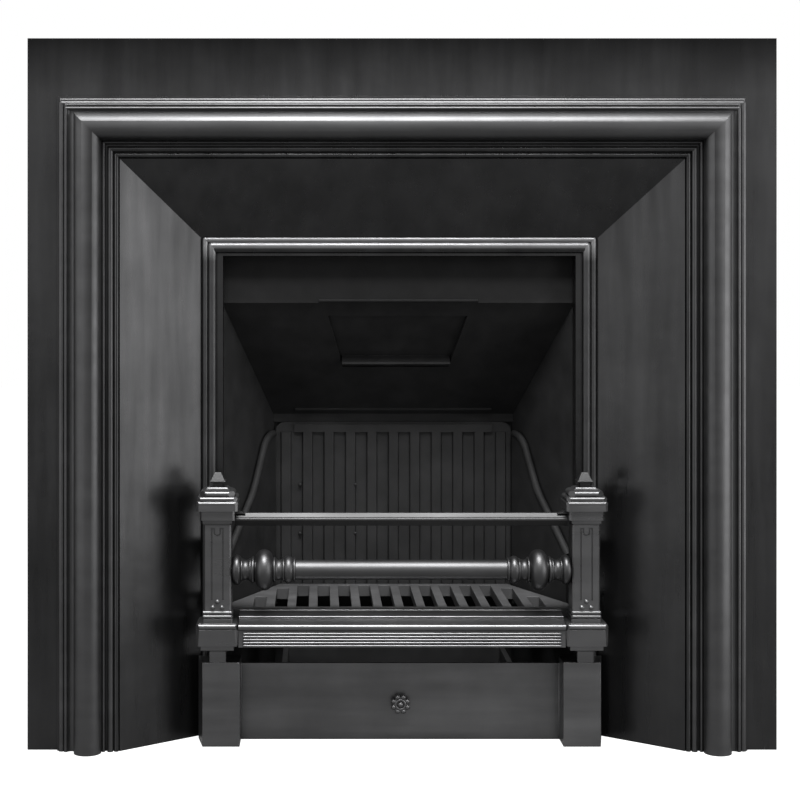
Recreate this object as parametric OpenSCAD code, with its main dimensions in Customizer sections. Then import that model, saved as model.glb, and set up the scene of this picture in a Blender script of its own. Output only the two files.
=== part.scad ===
// Cast iron register fireplace: a moulded front casting with splayed cheeks, a bolted-on
// firebox with a damper, a lift-off fire front, a lift-out grate, an ashpan cover and its pan.
// X runs across the front, +Y runs back into the wall, +Z is up. The origin is the bottom
// centre of the whole object. Depths in the text are measured back from the front face of
// the flat margin, so what stands proud of it has a negative depth.

/* [Front casting] */
// Overall width of the front casting
frame_w = 1016; // [960:1:1060]
// Overall height of the front casting
frame_h = 965; // [920:1:1010]
// Wall thickness of the front casting
frame_t = 6; // [5:0.5:8]
// Flat margin outside the moulding, left and right
margin_side = 41; // [25:1:60]
// Flat margin above the moulding
margin_top = 79; // [50:1:100]
// Width of the bolection moulding
moulding_w = 85; // [84:0.5:95]
// Radius of the big roll in the moulding
roll_r = 18.5; // [15:0.5:19.5]
// Distance of the roll's centre from the moulding's outer edge
roll_at = 42.5; // [41:0.5:44]
// How far the roll stands proud of the margin
roll_proud = 33; // [29:0.5:38]
// Width of the splayed cheeks, seen square on
cheek_w = 105; // [85:1:120]
// Depth of the cheeks' inner end behind the margin
cheek_depth = 75; // [55:1:84]
// How far the cheeks' outer end stands proud of the margin
cheek_proud = 7; // [6:0.5:9]
// Width of the beaded band round the fire opening
bead_band_w = 23; // [21:0.5:28]
// Radius of the bead in that band
bead_r = 6; // [4:0.5:6.5]
// Width of the plain lip inside the band, left and right
lip_side = 6.5; // [4:0.5:9]
// Width of the plain lip inside the band, at the top
lip_top = 1; // [1:0.5:6]
// Depth of the bolting flange's back face behind the margin
flange_depth = 104; // [100:1:115]
// Width of the bolting flange, measured out from the fire opening
flange_w = 34; // [33:1:38]

/* [Firebox] */
// Thickness of the firebox plates
plate_t = 6; // [5:0.5:7]
// Depth of the rear plate's front face behind the margin
rear_depth = 268; // [255:1:290]
// Setback of the side plates from the edge of the fire opening
wall_setback = 2.5; // [1:0.5:4]
// Height of the hood plate's lower end
hood_low_z = 437.5; // [434:0.5:450]
// Drop from the top of the fire opening to the bend where the hood plate turns upright
hood_bend_drop = 66; // [47:1:82]
// Distance of the rear bolts from the edge of the side plates' rear flange
rear_bolt_edge = 11; // [10:0.5:14]
// Height of the top of the ledges that carry the grate and the fireback
ledge_z = 164; // [155:1:166]
// Width of the ledges
ledge_w = 24; // [22:0.5:25]
// Drop of the ledges' stiffening web
ledge_drop = 25; // [12:1:30]

/* [Fireback and side bricks] */
// Width of the fireback
fireback_w = 356; // [340:1:370]
// Height of the fireback's top edge above the hearth
fireback_top = 425; // [415:1:430]
// Thickness of the fireback behind its ribs
fireback_t = 8; // [6:0.5:10]
// Relief of the fireback's ribs
rib_h = 5; // [3:0.5:6]
// Number of ribs on the fireback
rib_count = 11; // [9:1:11]
// Spacing of the ribs
rib_pitch = 32.5; // [28:0.1:33]
// Width of one rib
rib_w = 18; // [12:0.5:19]
// Height of the plain band above the ribs
rib_band = 15; // [10:1:25]
// Corner radius of the fireback
fireback_corner_r = 14; // [8:1:20]
// Thickness of the cast side bricks
brick_t = 8; // [6:0.5:10]
// Height of the side bricks' top edge at the fireback
brick_top = 408; // [395:1:415]
// Diameter of the rolled rim on the side bricks
brick_rim_d = 11; // [9:0.5:12]
// Radius of the rim's upper, convex turn
brick_turn_r = 40; // [30:1:45]
// Steepest slope of the rim
brick_steep = 60; // [55:1:65]
// Length of the rim's steepest run
brick_run = 55; // [45:1:60]
// Radius of the rim's lower, concave turn
brick_sweep_r = 100; // [80:1:120]
// Slope of the rim towards the front
brick_slope = 44; // [40:1:46]

/* [Damper] */
// Half-width of the damper opening at its top edge
damper_top_hw = 100; // [90:1:108]
// Half-width of the damper opening at its lower edge
damper_low_hw = 78; // [70:1:88]
// Distance of the opening's top edge down the slope from the bend
damper_start = 26; // [24:1:32]
// Length of the opening down the slope
damper_len = 104; // [90:1:112]
// How far the flap laps over the opening's edge
damper_lap = 10; // [7:1:12]
// Thickness of the damper flap
damper_t = 5; // [4:0.5:6]
// Diameter of the damper's hinge pin
damper_pin_d = 6; // [5:0.5:7]
// Radial clearance of the pin in its knuckle
pin_clear = 0.08; // [0.05:0.01:0.1]

/* [Grate] */
// Thickness of the grate
grate_t = 17; // [13:1:17]
// Depth of the grate's front edge behind the margin
grate_front = 57; // [57:0.5:60]
// Number of slots in the grate
slot_count = 14; // [12:2:14]
// Spacing of the slots
slot_pitch = 30.2; // [29:0.1:31]
// Width of a slot at the top
slot_w = 17.5; // [14:0.5:18]
// Width of the grate's rim
grate_rim = 12; // [10:0.5:14]

/* [Fire front] */
// Distance of each column's centre outside the edge of the fire opening
column_out = 3.5; // [2:0.5:5]
// Depth of the columns' centre behind the margin
column_depth = 25; // [24:0.5:25]
// Width of the column's shaft
shaft_w = 37.5; // [35:0.5:38.5]
// Width of the column's base block and cap
block_w = 58; // [54:0.5:59]
// Cant of the block's corners
block_cant = 5; // [3:0.5:7]
// Height of the base block's underside above the hearth
block_z = 140.5; // [136:0.5:142]
// Height of the base block's upright faces
block_h = 24.5; // [20:0.5:26]
// Height of the centre of the top rail above the hearth
rail_z = 309.5; // [305:0.5:314]
// Height of the top rail
rail_h = 17.5; // [15:0.5:19]
// Depth of the top rail, front to back
rail_t = 16; // [12:0.5:18]
// Height of the turned bar's centre above the hearth
bar_z = 240; // [236:1:248]
// Diameter of the turned bar's plain run
bar_d = 27; // [24:0.5:28]
// Diameter of the big ball on the turned bar
ball_d = 56; // [50:1:56]
// Number of reeds on the base rail
reed_count = 5; // [4:1:5]
// Spacing of the reeds
reed_pitch = 4.1; // [3.9:0.1:4.2]
// Diameter of the hanging pins
hook_pin_d = 9.4; // [8:0.2:9.6]
// Length of the hanging pins
hook_pin_l = 14; // [10:1:16]

/* [Ashpan cover and pan] */
// Height of the cover's panel
cover_h = 106; // [95:1:108]
// Height of the cover's plinths
plinth_h = 115; // [109:1:118]
// Depth of the cover's panel behind the margin
cover_depth = 53; // [48:1:54]
// Depth of the plinths' front faces behind the margin
plinth_depth = 14; // [10:1:20]
// Width of a plinth at its front
plinth_w = 51; // [46:1:54]
// How far a plinth flares outward at its back
plinth_flare = 8.5; // [4:0.5:10]
// Wall thickness of the cover
cover_t = 6; // [4:0.5:7]
// Height of the knob's centre above the hearth
knob_z = 51; // [45:1:58]
// Diameter of the rosette knob
knob_d = 28; // [20:1:34]
// Distance between the panel and the knob's back face
knob_standoff = 7; // [5:0.5:12]
// Width of the ash pan
pan_w = 320; // [280:1:330]
// Depth of the ash pan, front to back
pan_l = 165; // [140:1:170]
// Height of the ash pan
pan_h = 88; // [60:1:92]
// Sheet thickness of the ash pan
pan_t = 1.6; // [1.2:0.1:2.5]

/* [Fixings] */
// Diameter of the firebox bolts
bolt_d = 8; // [6:0.5:8]
// Diameter of the screw holes in the jamb lugs
jamb_hole_d = 9; // [7:0.5:11]
// Distance between the two jamb lugs of a side
jamb_spacing = 500; // [350:10:600]
// Height of the lower jamb lug above the hearth
jamb_low_z = 250; // [150:10:280]

/* [Hidden] */
$fn = 48;

IRON = [0.13, 0.13, 0.135];
POLISHED = [0.24, 0.24, 0.245];
SOOT = [0.07, 0.07, 0.07];
STEEL = [0.35, 0.35, 0.36];

seat_gap = 0.3;   // gap between pieces that lift or slide off each other
over = 2;         // how far a cutter runs past what it cuts
lap = 2;          // how far the flat margin runs in under the moulding

// Half-widths (x) and heights (z) of the front casting's bands, from the outside in.
mould_x = frame_w / 2 - margin_side;
mould_z = frame_h - margin_top;
inner_x = mould_x - moulding_w - cheek_w;
inner_z = mould_z - moulding_w - cheek_w;
open_x = inner_x - bead_band_w - lip_side;
open_z = inner_z - bead_band_w - lip_top;
band_back = cheek_depth + 9;

// Firebox: the side plates' inner faces run from wall_front_x to wall_back_x.
brick_gap = 2;
wall_front_x = open_x + wall_setback;
wall_back_x = fireback_w / 2 + 1.5;
wall_lean = atan2(wall_front_x - wall_back_x, rear_depth - flange_depth);
wall_plan_t = plate_t / cos(wall_lean);
function wall_x(depth) = wall_front_x - (depth - flange_depth) * tan(wall_lean);
flange_x = open_x + flange_w;
flange_top = open_z + flange_w;
hex_r = bolt_d * 0.92;
nut_h = 6.5;
rear_bolt_x = wall_x(rear_depth - plate_t - nut_h) + wall_plan_t + hex_r + 0.8;
rear_flange_x = rear_bolt_x + rear_bolt_edge;
rear_top = hood_low_z + 8;
ledge_back = rear_depth - ledge_w - 6;
ledge_run = ledge_back - flange_depth - 16;
side_brow = 12;
fireback_face = rear_depth - fireback_t - rib_h;
hood_bend_z = open_z - hood_bend_drop;
hood_angle = atan2(hood_bend_z - hood_low_z, rear_depth - plate_t - flange_depth);
hood_bend_rise = plate_t * (1 - sin(hood_angle)) / cos(hood_angle);
hood_upstand = flange_top - 6;

// Damper hinge in the hood slope's own frame: v runs down the slope, w runs out of its back.
knuckle_d = 2 * damper_pin_d;
hinge_v = damper_start - knuckle_d / 2 - 4;
hinge_w = plate_t + seat_gap + knuckle_d / 2;
knuckle_hw = damper_top_hw - 4;
lug_t = 8;

// Fire front.
column_x = open_x + column_out;
shaft_face_x = column_x - shaft_w / 2;
neck_w = shaft_w + 9.5;
block_top = block_z + block_h + 5.9;
shaft_z = block_top + 16.3;
neck_z = rail_z + 1;
bracket_h = 5;
cap_z = rail_z + rail_h / 2 + bracket_h;
cap_h = 31;
stem_foot_w = 22;
stem_d = 8;
bar_pin_d = 10;
socket_depth = 67;
hook_z = [shaft_z + 4, rail_z - 44];

// Heads and nuts of the firebox bolts.
head_h = 5.5;
flange_bolt_x = flange_x - 14;
flange_bolt_z = [60, 240, 450, flange_top - 66];
top_bolt_x = [-160, 0, 160];
rear_bolt_z = [40, 220, 400];

// Jamb lugs behind the margin: a foot screwed to a pad, and a leg that runs into the wall.
jamb_x = mould_x + margin_side / 2;
jamb_pad = 4;
jamb_lug_w = 28;
jamb_lug_h = 36;
jamb_lug_t = 5;
jamb_leg = 46;
jamb_hole_in = 16;
lug_screw_d = 5.8;
lug_screw_in = 3;

// The box of the whole object runs from the roll to the heads of the rear bolts.
back_depth = rear_depth + plate_t + head_h;
face_y = -(back_depth - roll_proud) / 2;

// ---------------------------------------------------------------- helpers

// Children drawn with y as the depth behind the margin's front face.
module at_face() {
    translate([0, face_y, 0]) children();
}

// Children drawn for the right side, or mirrored for the left.
module on_side(side) {
    mirror([side < 0 ? 1 : 0, 0, 0]) children();
}

// A 2D outline in (depth, height), extruded across the object from x0 to x1.
module across(x0, x1) {
    translate([x0, 0, 0]) rotate([90, 0, 90]) linear_extrude(x1 - x0) children();
}

// A 2D outline in (x, height), extruded from depth d0 to depth d1.
module along_depth(d0, d1) {
    translate([0, d1, 0]) rotate([90, 0, 0]) linear_extrude(d1 - d0) children();
}

// A square on plan with canted corners.
module canted_square(w, cant) {
    h = w / 2;
    polygon([
        [h, h - cant], [h - cant, h], [cant - h, h], [-h, h - cant],
        [-h, cant - h], [cant - h, -h], [h - cant, -h], [h, cant - h]
    ]);
}

// A moulding that runs round a square: one outline in (x, height), cut both ways.
module square_turned(w) {
    intersection() {
        rotate([90, 0, 0]) linear_extrude(2 * w, center = true) children();
        rotate([90, 0, 90]) linear_extrude(2 * w, center = true) children();
    }
}

// A rectangle centred on x, from height z0 to z1.
module band(hw, z0, z1) {
    translate([-hw, z0]) square([2 * hw, z1 - z0]);
}

// Two half-round beads on the sides of a band.
module side_beads(hw, z, r) {
    for (s = [-1, 1]) {
        translate([s * hw, z]) circle(r);
    }
}

// The hood slope's own frame: y runs down the slope from the bend, z runs out of its back.
module on_slope() {
    translate([0, flange_depth, hood_bend_z]) rotate([-hood_angle, 0, 0]) children();
}

// The right side plate's own frame: x runs forward along the plate from the given depth,
// and y runs out of the firebox.
module on_wall(depth) {
    translate([wall_x(depth), depth, 0]) rotate([0, 0, wall_lean - 90]) children();
}

// A hexagon bolt that runs forward (towards -y) from its seat, with its head behind.
module bolt(d, grip, nut_room) {
    rotate([-90, 30, 0]) cylinder(r = d * 0.92, h = head_h, $fn = 6);
    rotate([90, 0, 0]) cylinder(d = d, h = grip + nut_room);
}

// A hexagon nut in front of its seat.
module nut(d) {
    difference() {
        rotate([90, 30, 0]) cylinder(r = d * 0.92, h = nut_h, $fn = 6);
        translate([0, over, 0]) rotate([90, 0, 0]) cylinder(d = d + 0.2, h = nut_h + 2 * over);
    }
}

// ---------------------------------------------------------------- front casting

// Section through moulding, cheek and beaded band. x is the distance in from the
// moulding's outer edge and y is the height proud of the margin.
module frame_section() {
    bead_at = moulding_w - 21.7;
    cheek_len = norm([cheek_w, cheek_depth + cheek_proud]);
    back_in = frame_t * (cheek_depth + cheek_proud) / cheek_len;
    back_out = frame_t * cheek_w / cheek_len;
    cheek_end = moulding_w + cheek_w;
    difference() {
        union() {
            translate([0, -frame_t]) square([10, frame_t + 5]);
            translate([6, 5]) circle(3);
            difference() {
                translate([0, -frame_t]) square([roll_at, frame_t + 9.5]);
                translate([-1, 5]) square([11, 20]);
                translate([roll_at - roll_r - 4, 13.5]) circle(6);
            }
            translate([12.6, 9.8]) circle(1.9);
            translate([roll_at, roll_proud - roll_r]) circle(roll_r);
            translate([roll_at - roll_r + 1.2, -frame_t])
                square([2 * roll_r - 2.4, frame_t + roll_proud - roll_r]);
            translate([roll_at, -frame_t]) square([moulding_w - roll_at, frame_t + 5.5]);
            translate([bead_at - 4, 0]) square([6, 10]);
            translate([bead_at, 10.2]) circle(1.8);
            translate([bead_at + 9, 8.5]) circle(3.9);
            translate([bead_at + 17.1, 7]) circle(3.2);
        }
        translate([roll_at, roll_proud - roll_r]) circle(roll_r - frame_t);
        translate([roll_at - roll_r + frame_t + 1.5, -frame_t - 1])
            square([2 * (roll_r - frame_t) - 3, roll_proud - roll_r + frame_t + 1]);
        translate([frame_t + 1, -frame_t - 1]) square([moulding_w - 2 * frame_t - 1, frame_t + 1.5]);
    }
    polygon([
        [moulding_w, cheek_proud], [cheek_end, -cheek_depth],
        [cheek_end - back_in, -cheek_depth - back_out],
        [moulding_w - back_in, cheek_proud - back_out]
    ]);
    difference() {
        translate([cheek_end - back_in, -band_back]) square([bead_band_w + back_in, 7]);
        translate([cheek_end - back_in - over, -cheek_depth - back_out])
            square([over, back_out]);
    }
    translate([cheek_end + 3.2, -cheek_depth - 1.8]) circle(1.8);
    translate([cheek_end + bead_band_w - 2.4 - bead_r, -cheek_depth - 2]) circle(bead_r);
}

// A U-shaped band in (x, height) that stands on the hearth.
module u_band(x_out, z_out, x_in, z_in) {
    difference() {
        translate([-x_out, 0]) square([2 * x_out, z_out]);
        translate([-x_in, -over]) square([2 * x_in, z_in + over]);
    }
}

module mitred_section() {
    reach = moulding_w + cheek_w + bead_band_w + over;
    front = roll_proud + over;
    back = band_back + over;
    // left and right legs
    for (side = [-1, 1]) {
        on_side(side) intersection() {
            translate([mould_x, 0, 0]) linear_extrude(mould_z) rotate(180) frame_section();
            along_depth(-front, back) polygon([
                [mould_x, 0], [mould_x, mould_z],
                [mould_x - reach, mould_z - reach], [mould_x - reach, 0]
            ]);
        }
    }
    // head, between the two mitres
    intersection() {
        translate([-mould_x, 0, mould_z]) rotate([0, 90, 0]) linear_extrude(2 * mould_x)
            mirror([0, 1]) frame_section();
        along_depth(-front, back) polygon([
            [-mould_x, mould_z], [mould_x, mould_z],
            [mould_x - reach, mould_z - reach], [reach - mould_x, mould_z - reach]
        ]);
    }
}

module front_frame() {
    pad_h = jamb_lug_h + 4;
    color(IRON) at_face() difference() {
        union() {
            along_depth(0, frame_t) u_band(frame_w / 2, frame_h, mould_x - lap, mould_z - lap);
            mitred_section();
            along_depth(cheek_depth + 1, flange_depth)
                u_band(open_x + 7, open_z + 7, open_x, open_z);
            along_depth(flange_depth - frame_t, flange_depth)
                u_band(flange_x, flange_top, open_x, open_z);
            // lugs that the fire front hangs on
            for (side = [-1, 1], z = hook_z) {
                on_side(side) translate([column_x - 7.5, socket_depth - 8, z - 10])
                    cube([15, cheek_depth + 4 - socket_depth + 8, 10]);
            }
            // pads behind the margin for the jamb lugs
            for (side = [-1, 1], z = [0, jamb_spacing]) {
                translate([side * jamb_x - jamb_lug_w / 2, frame_t, jamb_low_z + z - pad_h / 2])
                    cube([jamb_lug_w, jamb_pad, pad_h]);
            }
        }
        for (side = [-1, 1], z = hook_z) {
            translate([side * column_x, socket_depth, z - 10 - over])
                cylinder(d = hook_pin_d + 2 * seat_gap, h = 10 + 2 * over);
        }
        for (side = [-1, 1], z = flange_bolt_z) {
            translate([side * flange_bolt_x, flange_depth + over, z])
                rotate([90, 0, 0]) cylinder(d = bolt_d + 1, h = frame_t + 2 * over);
        }
        for (x = top_bolt_x) {
            translate([x, flange_depth + over, flange_top - 13])
                rotate([90, 0, 0]) cylinder(d = bolt_d + 1, h = frame_t + 2 * over);
        }
        for (side = [-1, 1], z = [0, jamb_spacing]) {
            translate([side * (jamb_x - lug_screw_in), frame_t + jamb_pad + over, jamb_low_z + z])
                rotate([90, 0, 0]) cylinder(d = lug_screw_d + 0.2, h = jamb_pad + 3 + over);
        }
    }
}

// ---------------------------------------------------------------- firebox

module side_plate() {
    difference() {
        union() {
            intersection() {
                linear_extrude(flange_top) union() {
                    polygon([
                        [wall_front_x, flange_depth], [wall_front_x + wall_plan_t, flange_depth],
                        [wall_back_x + wall_plan_t, rear_depth], [wall_back_x, rear_depth]
                    ]);
                    translate([wall_front_x + 1, flange_depth])
                        square([flange_x - wall_front_x - 1, plate_t]);
                    translate([wall_back_x + 3.5, rear_depth - plate_t])
                        square([rear_flange_x - wall_back_x - 3.5, plate_t]);
                }
                across(wall_back_x - over, flange_x + over) polygon([
                    [flange_depth, 0], [rear_depth, 0], [rear_depth, rear_top],
                    [rear_depth - plate_t, rear_top],
                    [flange_depth + plate_t, hood_bend_z + hood_bend_rise + side_brow],
                    [flange_depth + plate_t, flange_top], [flange_depth, flange_top]
                ]);
            }
            // ledge that carries the grate and the side brick
            on_wall(ledge_back) translate([0, -ledge_w, 0]) {
                translate([0, 0, ledge_z - plate_t]) cube([ledge_run, ledge_w + 1, plate_t]);
                translate([0, ledge_w - plate_t, ledge_z - ledge_drop])
                    cube([ledge_run, plate_t + 1, ledge_drop]);
            }
        }
        for (z = flange_bolt_z) {
            translate([flange_bolt_x, flange_depth + plate_t + over, z])
                rotate([90, 0, 0]) cylinder(d = bolt_d + 1, h = plate_t + 2 * over);
        }
        for (z = rear_bolt_z) {
            translate([rear_bolt_x, rear_depth + over, z])
                rotate([90, 0, 0]) cylinder(d = bolt_d + 1, h = plate_t + 2 * over);
        }
    }
}

module side_plate_left() {
    color(SOOT) at_face() on_side(-1) side_plate();
}

module side_plate_right() {
    color(SOOT) at_face() side_plate();
}

module rear_plate() {
    hw = fireback_w / 2 - 2;
    color(SOOT) at_face() difference() {
        union() {
            translate([-rear_flange_x, rear_depth, 0]) cube([2 * rear_flange_x, plate_t, rear_top]);
            across(-hw, hw) polygon([
                [rear_depth + 1, ledge_z - ledge_drop], [rear_depth + 1, ledge_z],
                [rear_depth - ledge_w, ledge_z], [rear_depth - ledge_w, ledge_z - plate_t],
                [rear_depth - plate_t, ledge_z - plate_t],
                [rear_depth - plate_t, ledge_z - ledge_drop]
            ]);
        }
        for (side = [-1, 1], z = rear_bolt_z) {
            translate([side * rear_bolt_x, rear_depth + plate_t + over, z])
                rotate([90, 0, 0]) cylinder(d = bolt_d + 1, h = plate_t + 2 * over);
        }
    }
}

module hood_plate() {
    low_d = rear_depth - plate_t;
    side_gap = seat_gap;
    foot_bead_d = low_d - 7;
    foot_bead_hw = wall_x(foot_bead_d) - 36.6;
    bend_bead_hw = damper_top_hw + 13;
    color(SOOT) at_face() difference() {
        union() {
            intersection() {
                across(-flange_x, flange_x) polygon([
                    [low_d, fireback_top + seat_gap], [low_d, hood_low_z],
                    [flange_depth, hood_bend_z], [flange_depth, hood_upstand],
                    [flange_depth + plate_t, hood_upstand],
                    [flange_depth + plate_t, hood_bend_z + hood_bend_rise],
                    [rear_depth, hood_low_z + hood_bend_rise], [rear_depth, fireback_top + seat_gap]
                ]);
                linear_extrude(frame_h) polygon([
                    [wall_front_x - side_gap, flange_depth], [wall_back_x - side_gap, rear_depth],
                    [side_gap - wall_back_x, rear_depth], [side_gap - wall_front_x, flange_depth]
                ]);
            }
            // half-round stiffening beads across the slope's foot and under the bend
            translate([0, foot_bead_d, hood_low_z + (low_d - foot_bead_d) * tan(hood_angle)])
                rotate([0, 90, 0]) cylinder(r = 3, h = 2 * foot_bead_hw, center = true);
            translate([0, flange_depth, hood_bend_z + 3])
                rotate([0, 90, 0]) cylinder(r = 2.6, h = 2 * bend_bead_hw, center = true);
        }
        on_slope() translate([0, 0, -8]) linear_extrude(plate_t + 16) polygon([
            [-damper_top_hw, damper_start], [damper_top_hw, damper_start],
            [damper_low_hw, damper_start + damper_len], [-damper_low_hw, damper_start + damper_len]
        ]);
        for (x = top_bolt_x) {
            translate([x, flange_depth + plate_t + over, flange_top - 13])
                rotate([90, 0, 0]) cylinder(d = bolt_d + 1, h = plate_t + 2 * over);
        }
    }
}

module fireback() {
    foot = ledge_z + seat_gap;
    hw = fireback_w / 2;
    r = fireback_corner_r;
    rib_top = fireback_top - rib_band;
    color(SOOT) at_face() union() {
        along_depth(rear_depth - fireback_t, rear_depth) union() {
            translate([-hw, foot]) square([2 * hw, fireback_top - foot - r]);
            translate([r - hw, foot]) square([2 * (hw - r), fireback_top - foot]);
            for (s = [-1, 1]) {
                translate([s * (hw - r), fireback_top - r]) circle(r - 0.01);
            }
        }
        // plain band, and the ribs below it
        translate([2 * r - hw, fireback_face, rib_top])
            cube([2 * hw - 4 * r, rib_h + 1, rib_band - 3]);
        for (i = [0 : rib_count - 1]) {
            x = (i - (rib_count - 1) / 2) * rib_pitch;
            translate([x, fireback_face + rib_h + 1, foot]) linear_extrude(rib_top - foot)
                polygon([
                    [-rib_w / 2, 0], [-rib_w / 2 + 2, -rib_h - 1],
                    [rib_w / 2 - 2, -rib_h - 1], [rib_w / 2, 0]
                ]);
        }
    }
}

// Points of the brick's top edge in (forward, height), from the fireback to the front end.
function brick_arc_1() = [
    for (i = [0 : 10])
        let (a = brick_steep * i / 10)
        [brick_turn_r * sin(a), brick_top - brick_turn_r * (1 - cos(a))]
];
function brick_join() = let (p = brick_arc_1()[10])
    [p.x + brick_run * cos(brick_steep), p.y - brick_run * sin(brick_steep)];
function brick_arc_2() = let (j = brick_join()) [
    for (i = [0 : 5])
        let (a = brick_steep + (brick_slope - brick_steep) * i / 5)
        [
            j.x + brick_sweep_r * (sin(brick_steep) - sin(a)),
            j.y - brick_sweep_r * (cos(a) - cos(brick_steep))
        ]
];
brick_len = (fireback_face - 4 - flange_depth - 6) / cos(wall_lean);
brick_tail = brick_len - brick_arc_2()[5].x;
brick_front_z = brick_arc_2()[5].y - brick_tail * tan(brick_slope);
brick_sink = 1.5;

// A straight length of the rolled rim, from a point, falling at the given slope. It starts
// inside the turn before it and runs into the next, a shade thinner than both.
module rim_run(p, fall, len) {
    sink = 3;
    translate([p.x, -brick_gap - brick_t / 2, p.y]) rotate([0, 90 + fall, 0])
        translate([0, 0, -sink]) cylinder(d = brick_rim_d - 0.4, h = len + sink);
}

module side_brick() {
    foot = ledge_z + seat_gap;
    mid = -brick_gap - brick_t / 2;
    join = brick_join();
    end = brick_arc_2()[5];
    on_wall(fireback_face - 4) {
        translate([0, -brick_gap, 0]) rotate([90, 0, 0]) linear_extrude(brick_t) polygon(concat(
            [[0, foot]], [for (p = concat(brick_arc_1(), brick_arc_2())) [p.x, p.y - brick_sink]],
            [[brick_len, brick_front_z - brick_sink], [brick_len, foot]]
        ));
        // rolled rim: convex turn, steep run, concave sweep, run to the front
        translate([0, mid, brick_top - brick_turn_r]) rotate([90, 0, 0])
            rotate(90 - brick_steep) rotate_extrude(angle = brick_steep)
            translate([brick_turn_r, 0]) circle(d = brick_rim_d);
        rim_run(brick_arc_1()[10], brick_steep, brick_run + 3);
        translate([
            join.x + brick_sweep_r * sin(brick_steep), mid, join.y + brick_sweep_r * cos(brick_steep)
        ]) rotate([90, 0, 0])
            rotate(270 - brick_steep) rotate_extrude(angle = brick_steep - brick_slope)
            translate([brick_sweep_r, 0]) circle(d = brick_rim_d);
        rim_run(end, brick_slope, brick_tail / cos(brick_slope));
    }
}

module side_brick_left() {
    color(SOOT) at_face() on_side(-1) side_brick();
}

module side_brick_right() {
    color(SOOT) at_face() side_brick();
}

// ---------------------------------------------------------------- damper

module damper_lugs() {
    h = hinge_w + knuckle_d / 2;
    color(SOOT) at_face() on_slope() for (side = [-1, 1]) {
        on_side(side) difference() {
            union() {
                translate([knuckle_hw + 1, hinge_v - knuckle_d / 2, plate_t])
                    cube([lug_t, knuckle_d, hinge_w - plate_t]);
                translate([knuckle_hw + 1, hinge_v, hinge_w]) rotate([0, 90, 0])
                    cylinder(d = knuckle_d - 0.02, h = lug_t);
            }
            translate([knuckle_hw + 1 - over, hinge_v, hinge_w]) rotate([0, 90, 0])
                cylinder(d = damper_pin_d + 2 * pin_clear, h = lug_t + 2 * over);
        }
    }
}

module damper_pin() {
    hw = knuckle_hw + 1 + lug_t + seat_gap;
    color(STEEL) at_face() on_slope() translate([-hw, hinge_v, hinge_w]) rotate([0, 90, 0]) {
        cylinder(d = damper_pin_d, h = 2 * hw + 3);
        translate([0, 0, -2]) cylinder(d = damper_pin_d + 4, h = 2);
        translate([0, 0, 2 * hw]) cylinder(d = damper_pin_d + 4, h = 2);
    }
}

module damper_flap() {
    low = damper_start + damper_len + damper_lap;
    lip_v = damper_start + damper_len - 16;
    base = plate_t + seat_gap;
    pull_hw = damper_low_hw + 1;
    color(IRON) at_face() on_slope() difference() {
        union() {
            translate([0, 0, base]) linear_extrude(damper_t) polygon([
                [-knuckle_hw, hinge_v], [knuckle_hw, hinge_v],
                [knuckle_hw, damper_start], [damper_top_hw + damper_lap, damper_start + 8],
                [damper_low_hw + damper_lap, low], [-damper_low_hw - damper_lap, low],
                [-damper_top_hw - damper_lap, damper_start + 8], [-knuckle_hw, damper_start]
            ]);
            translate([-knuckle_hw, hinge_v, hinge_w]) rotate([0, 90, 0])
                cylinder(d = knuckle_d, h = 2 * knuckle_hw);
            // pull lip that a poker catches, reaching down through the opening
            translate([-pull_hw, 0, 0]) rotate([90, 0, 90]) linear_extrude(2 * pull_hw) polygon([
                [lip_v - 2, base + 1], [lip_v - 2, -9], [lip_v - 7, -12],
                [lip_v - 5, -15], [lip_v + 3, -10], [lip_v + 3, base + 1]
            ]);
        }
        translate([-knuckle_hw - over, hinge_v, hinge_w]) rotate([0, 90, 0])
            cylinder(d = damper_pin_d + 2 * pin_clear, h = 2 * knuckle_hw + 2 * over);
    }
}

// ---------------------------------------------------------------- fixings

module at_front_bolts() {
    for (side = [-1, 1], z = flange_bolt_z) {
        translate([side * flange_bolt_x, flange_depth, z]) children();
    }
    for (x = top_bolt_x) {
        translate([x, flange_depth, flange_top - 13]) children();
    }
}

module at_rear_bolts() {
    for (side = [-1, 1], z = rear_bolt_z) {
        translate([side * rear_bolt_x, rear_depth, z]) children();
    }
}

module front_bolts() {
    color(STEEL) at_face() at_front_bolts() translate([0, plate_t, 0])
        bolt(bolt_d, frame_t + plate_t, nut_h);
}

module front_nuts() {
    color(STEEL) at_face() at_front_bolts() translate([0, -frame_t, 0]) nut(bolt_d);
}

module rear_bolts() {
    color(STEEL) at_face() at_rear_bolts() translate([0, plate_t, 0])
        bolt(bolt_d, 2 * plate_t, nut_h);
}

module rear_nuts() {
    color(STEEL) at_face() at_rear_bolts() translate([0, -plate_t, 0]) nut(bolt_d);
}

// Angle lugs behind the margin, screwed sideways into the jambs of the builder's opening.
module at_jamb_lugs() {
    for (side = [-1, 1], z = [0, jamb_spacing]) {
        on_side(side) translate([jamb_x, frame_t + jamb_pad, jamb_low_z + z]) children();
    }
}

module jamb_lugs() {
    hw = jamb_lug_w / 2;
    hh = jamb_lug_h / 2;
    color(STEEL) at_face() at_jamb_lugs() difference() {
        union() {
            translate([-hw, 0, -hh]) cube([jamb_lug_w, jamb_lug_t, jamb_lug_h]);
            translate([hw - jamb_lug_t, 0, -hh]) cube([jamb_lug_t, jamb_leg, jamb_lug_h]);
        }
        translate([-lug_screw_in, jamb_lug_t + over, 0]) rotate([90, 0, 0])
            cylinder(d = lug_screw_d + 0.8, h = jamb_lug_t + 2 * over);
        translate([hw - jamb_lug_t - over, jamb_leg - jamb_hole_in, 0]) rotate([0, 90, 0])
            cylinder(d = jamb_hole_d, h = jamb_lug_t + 2 * over);
    }
}

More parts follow.
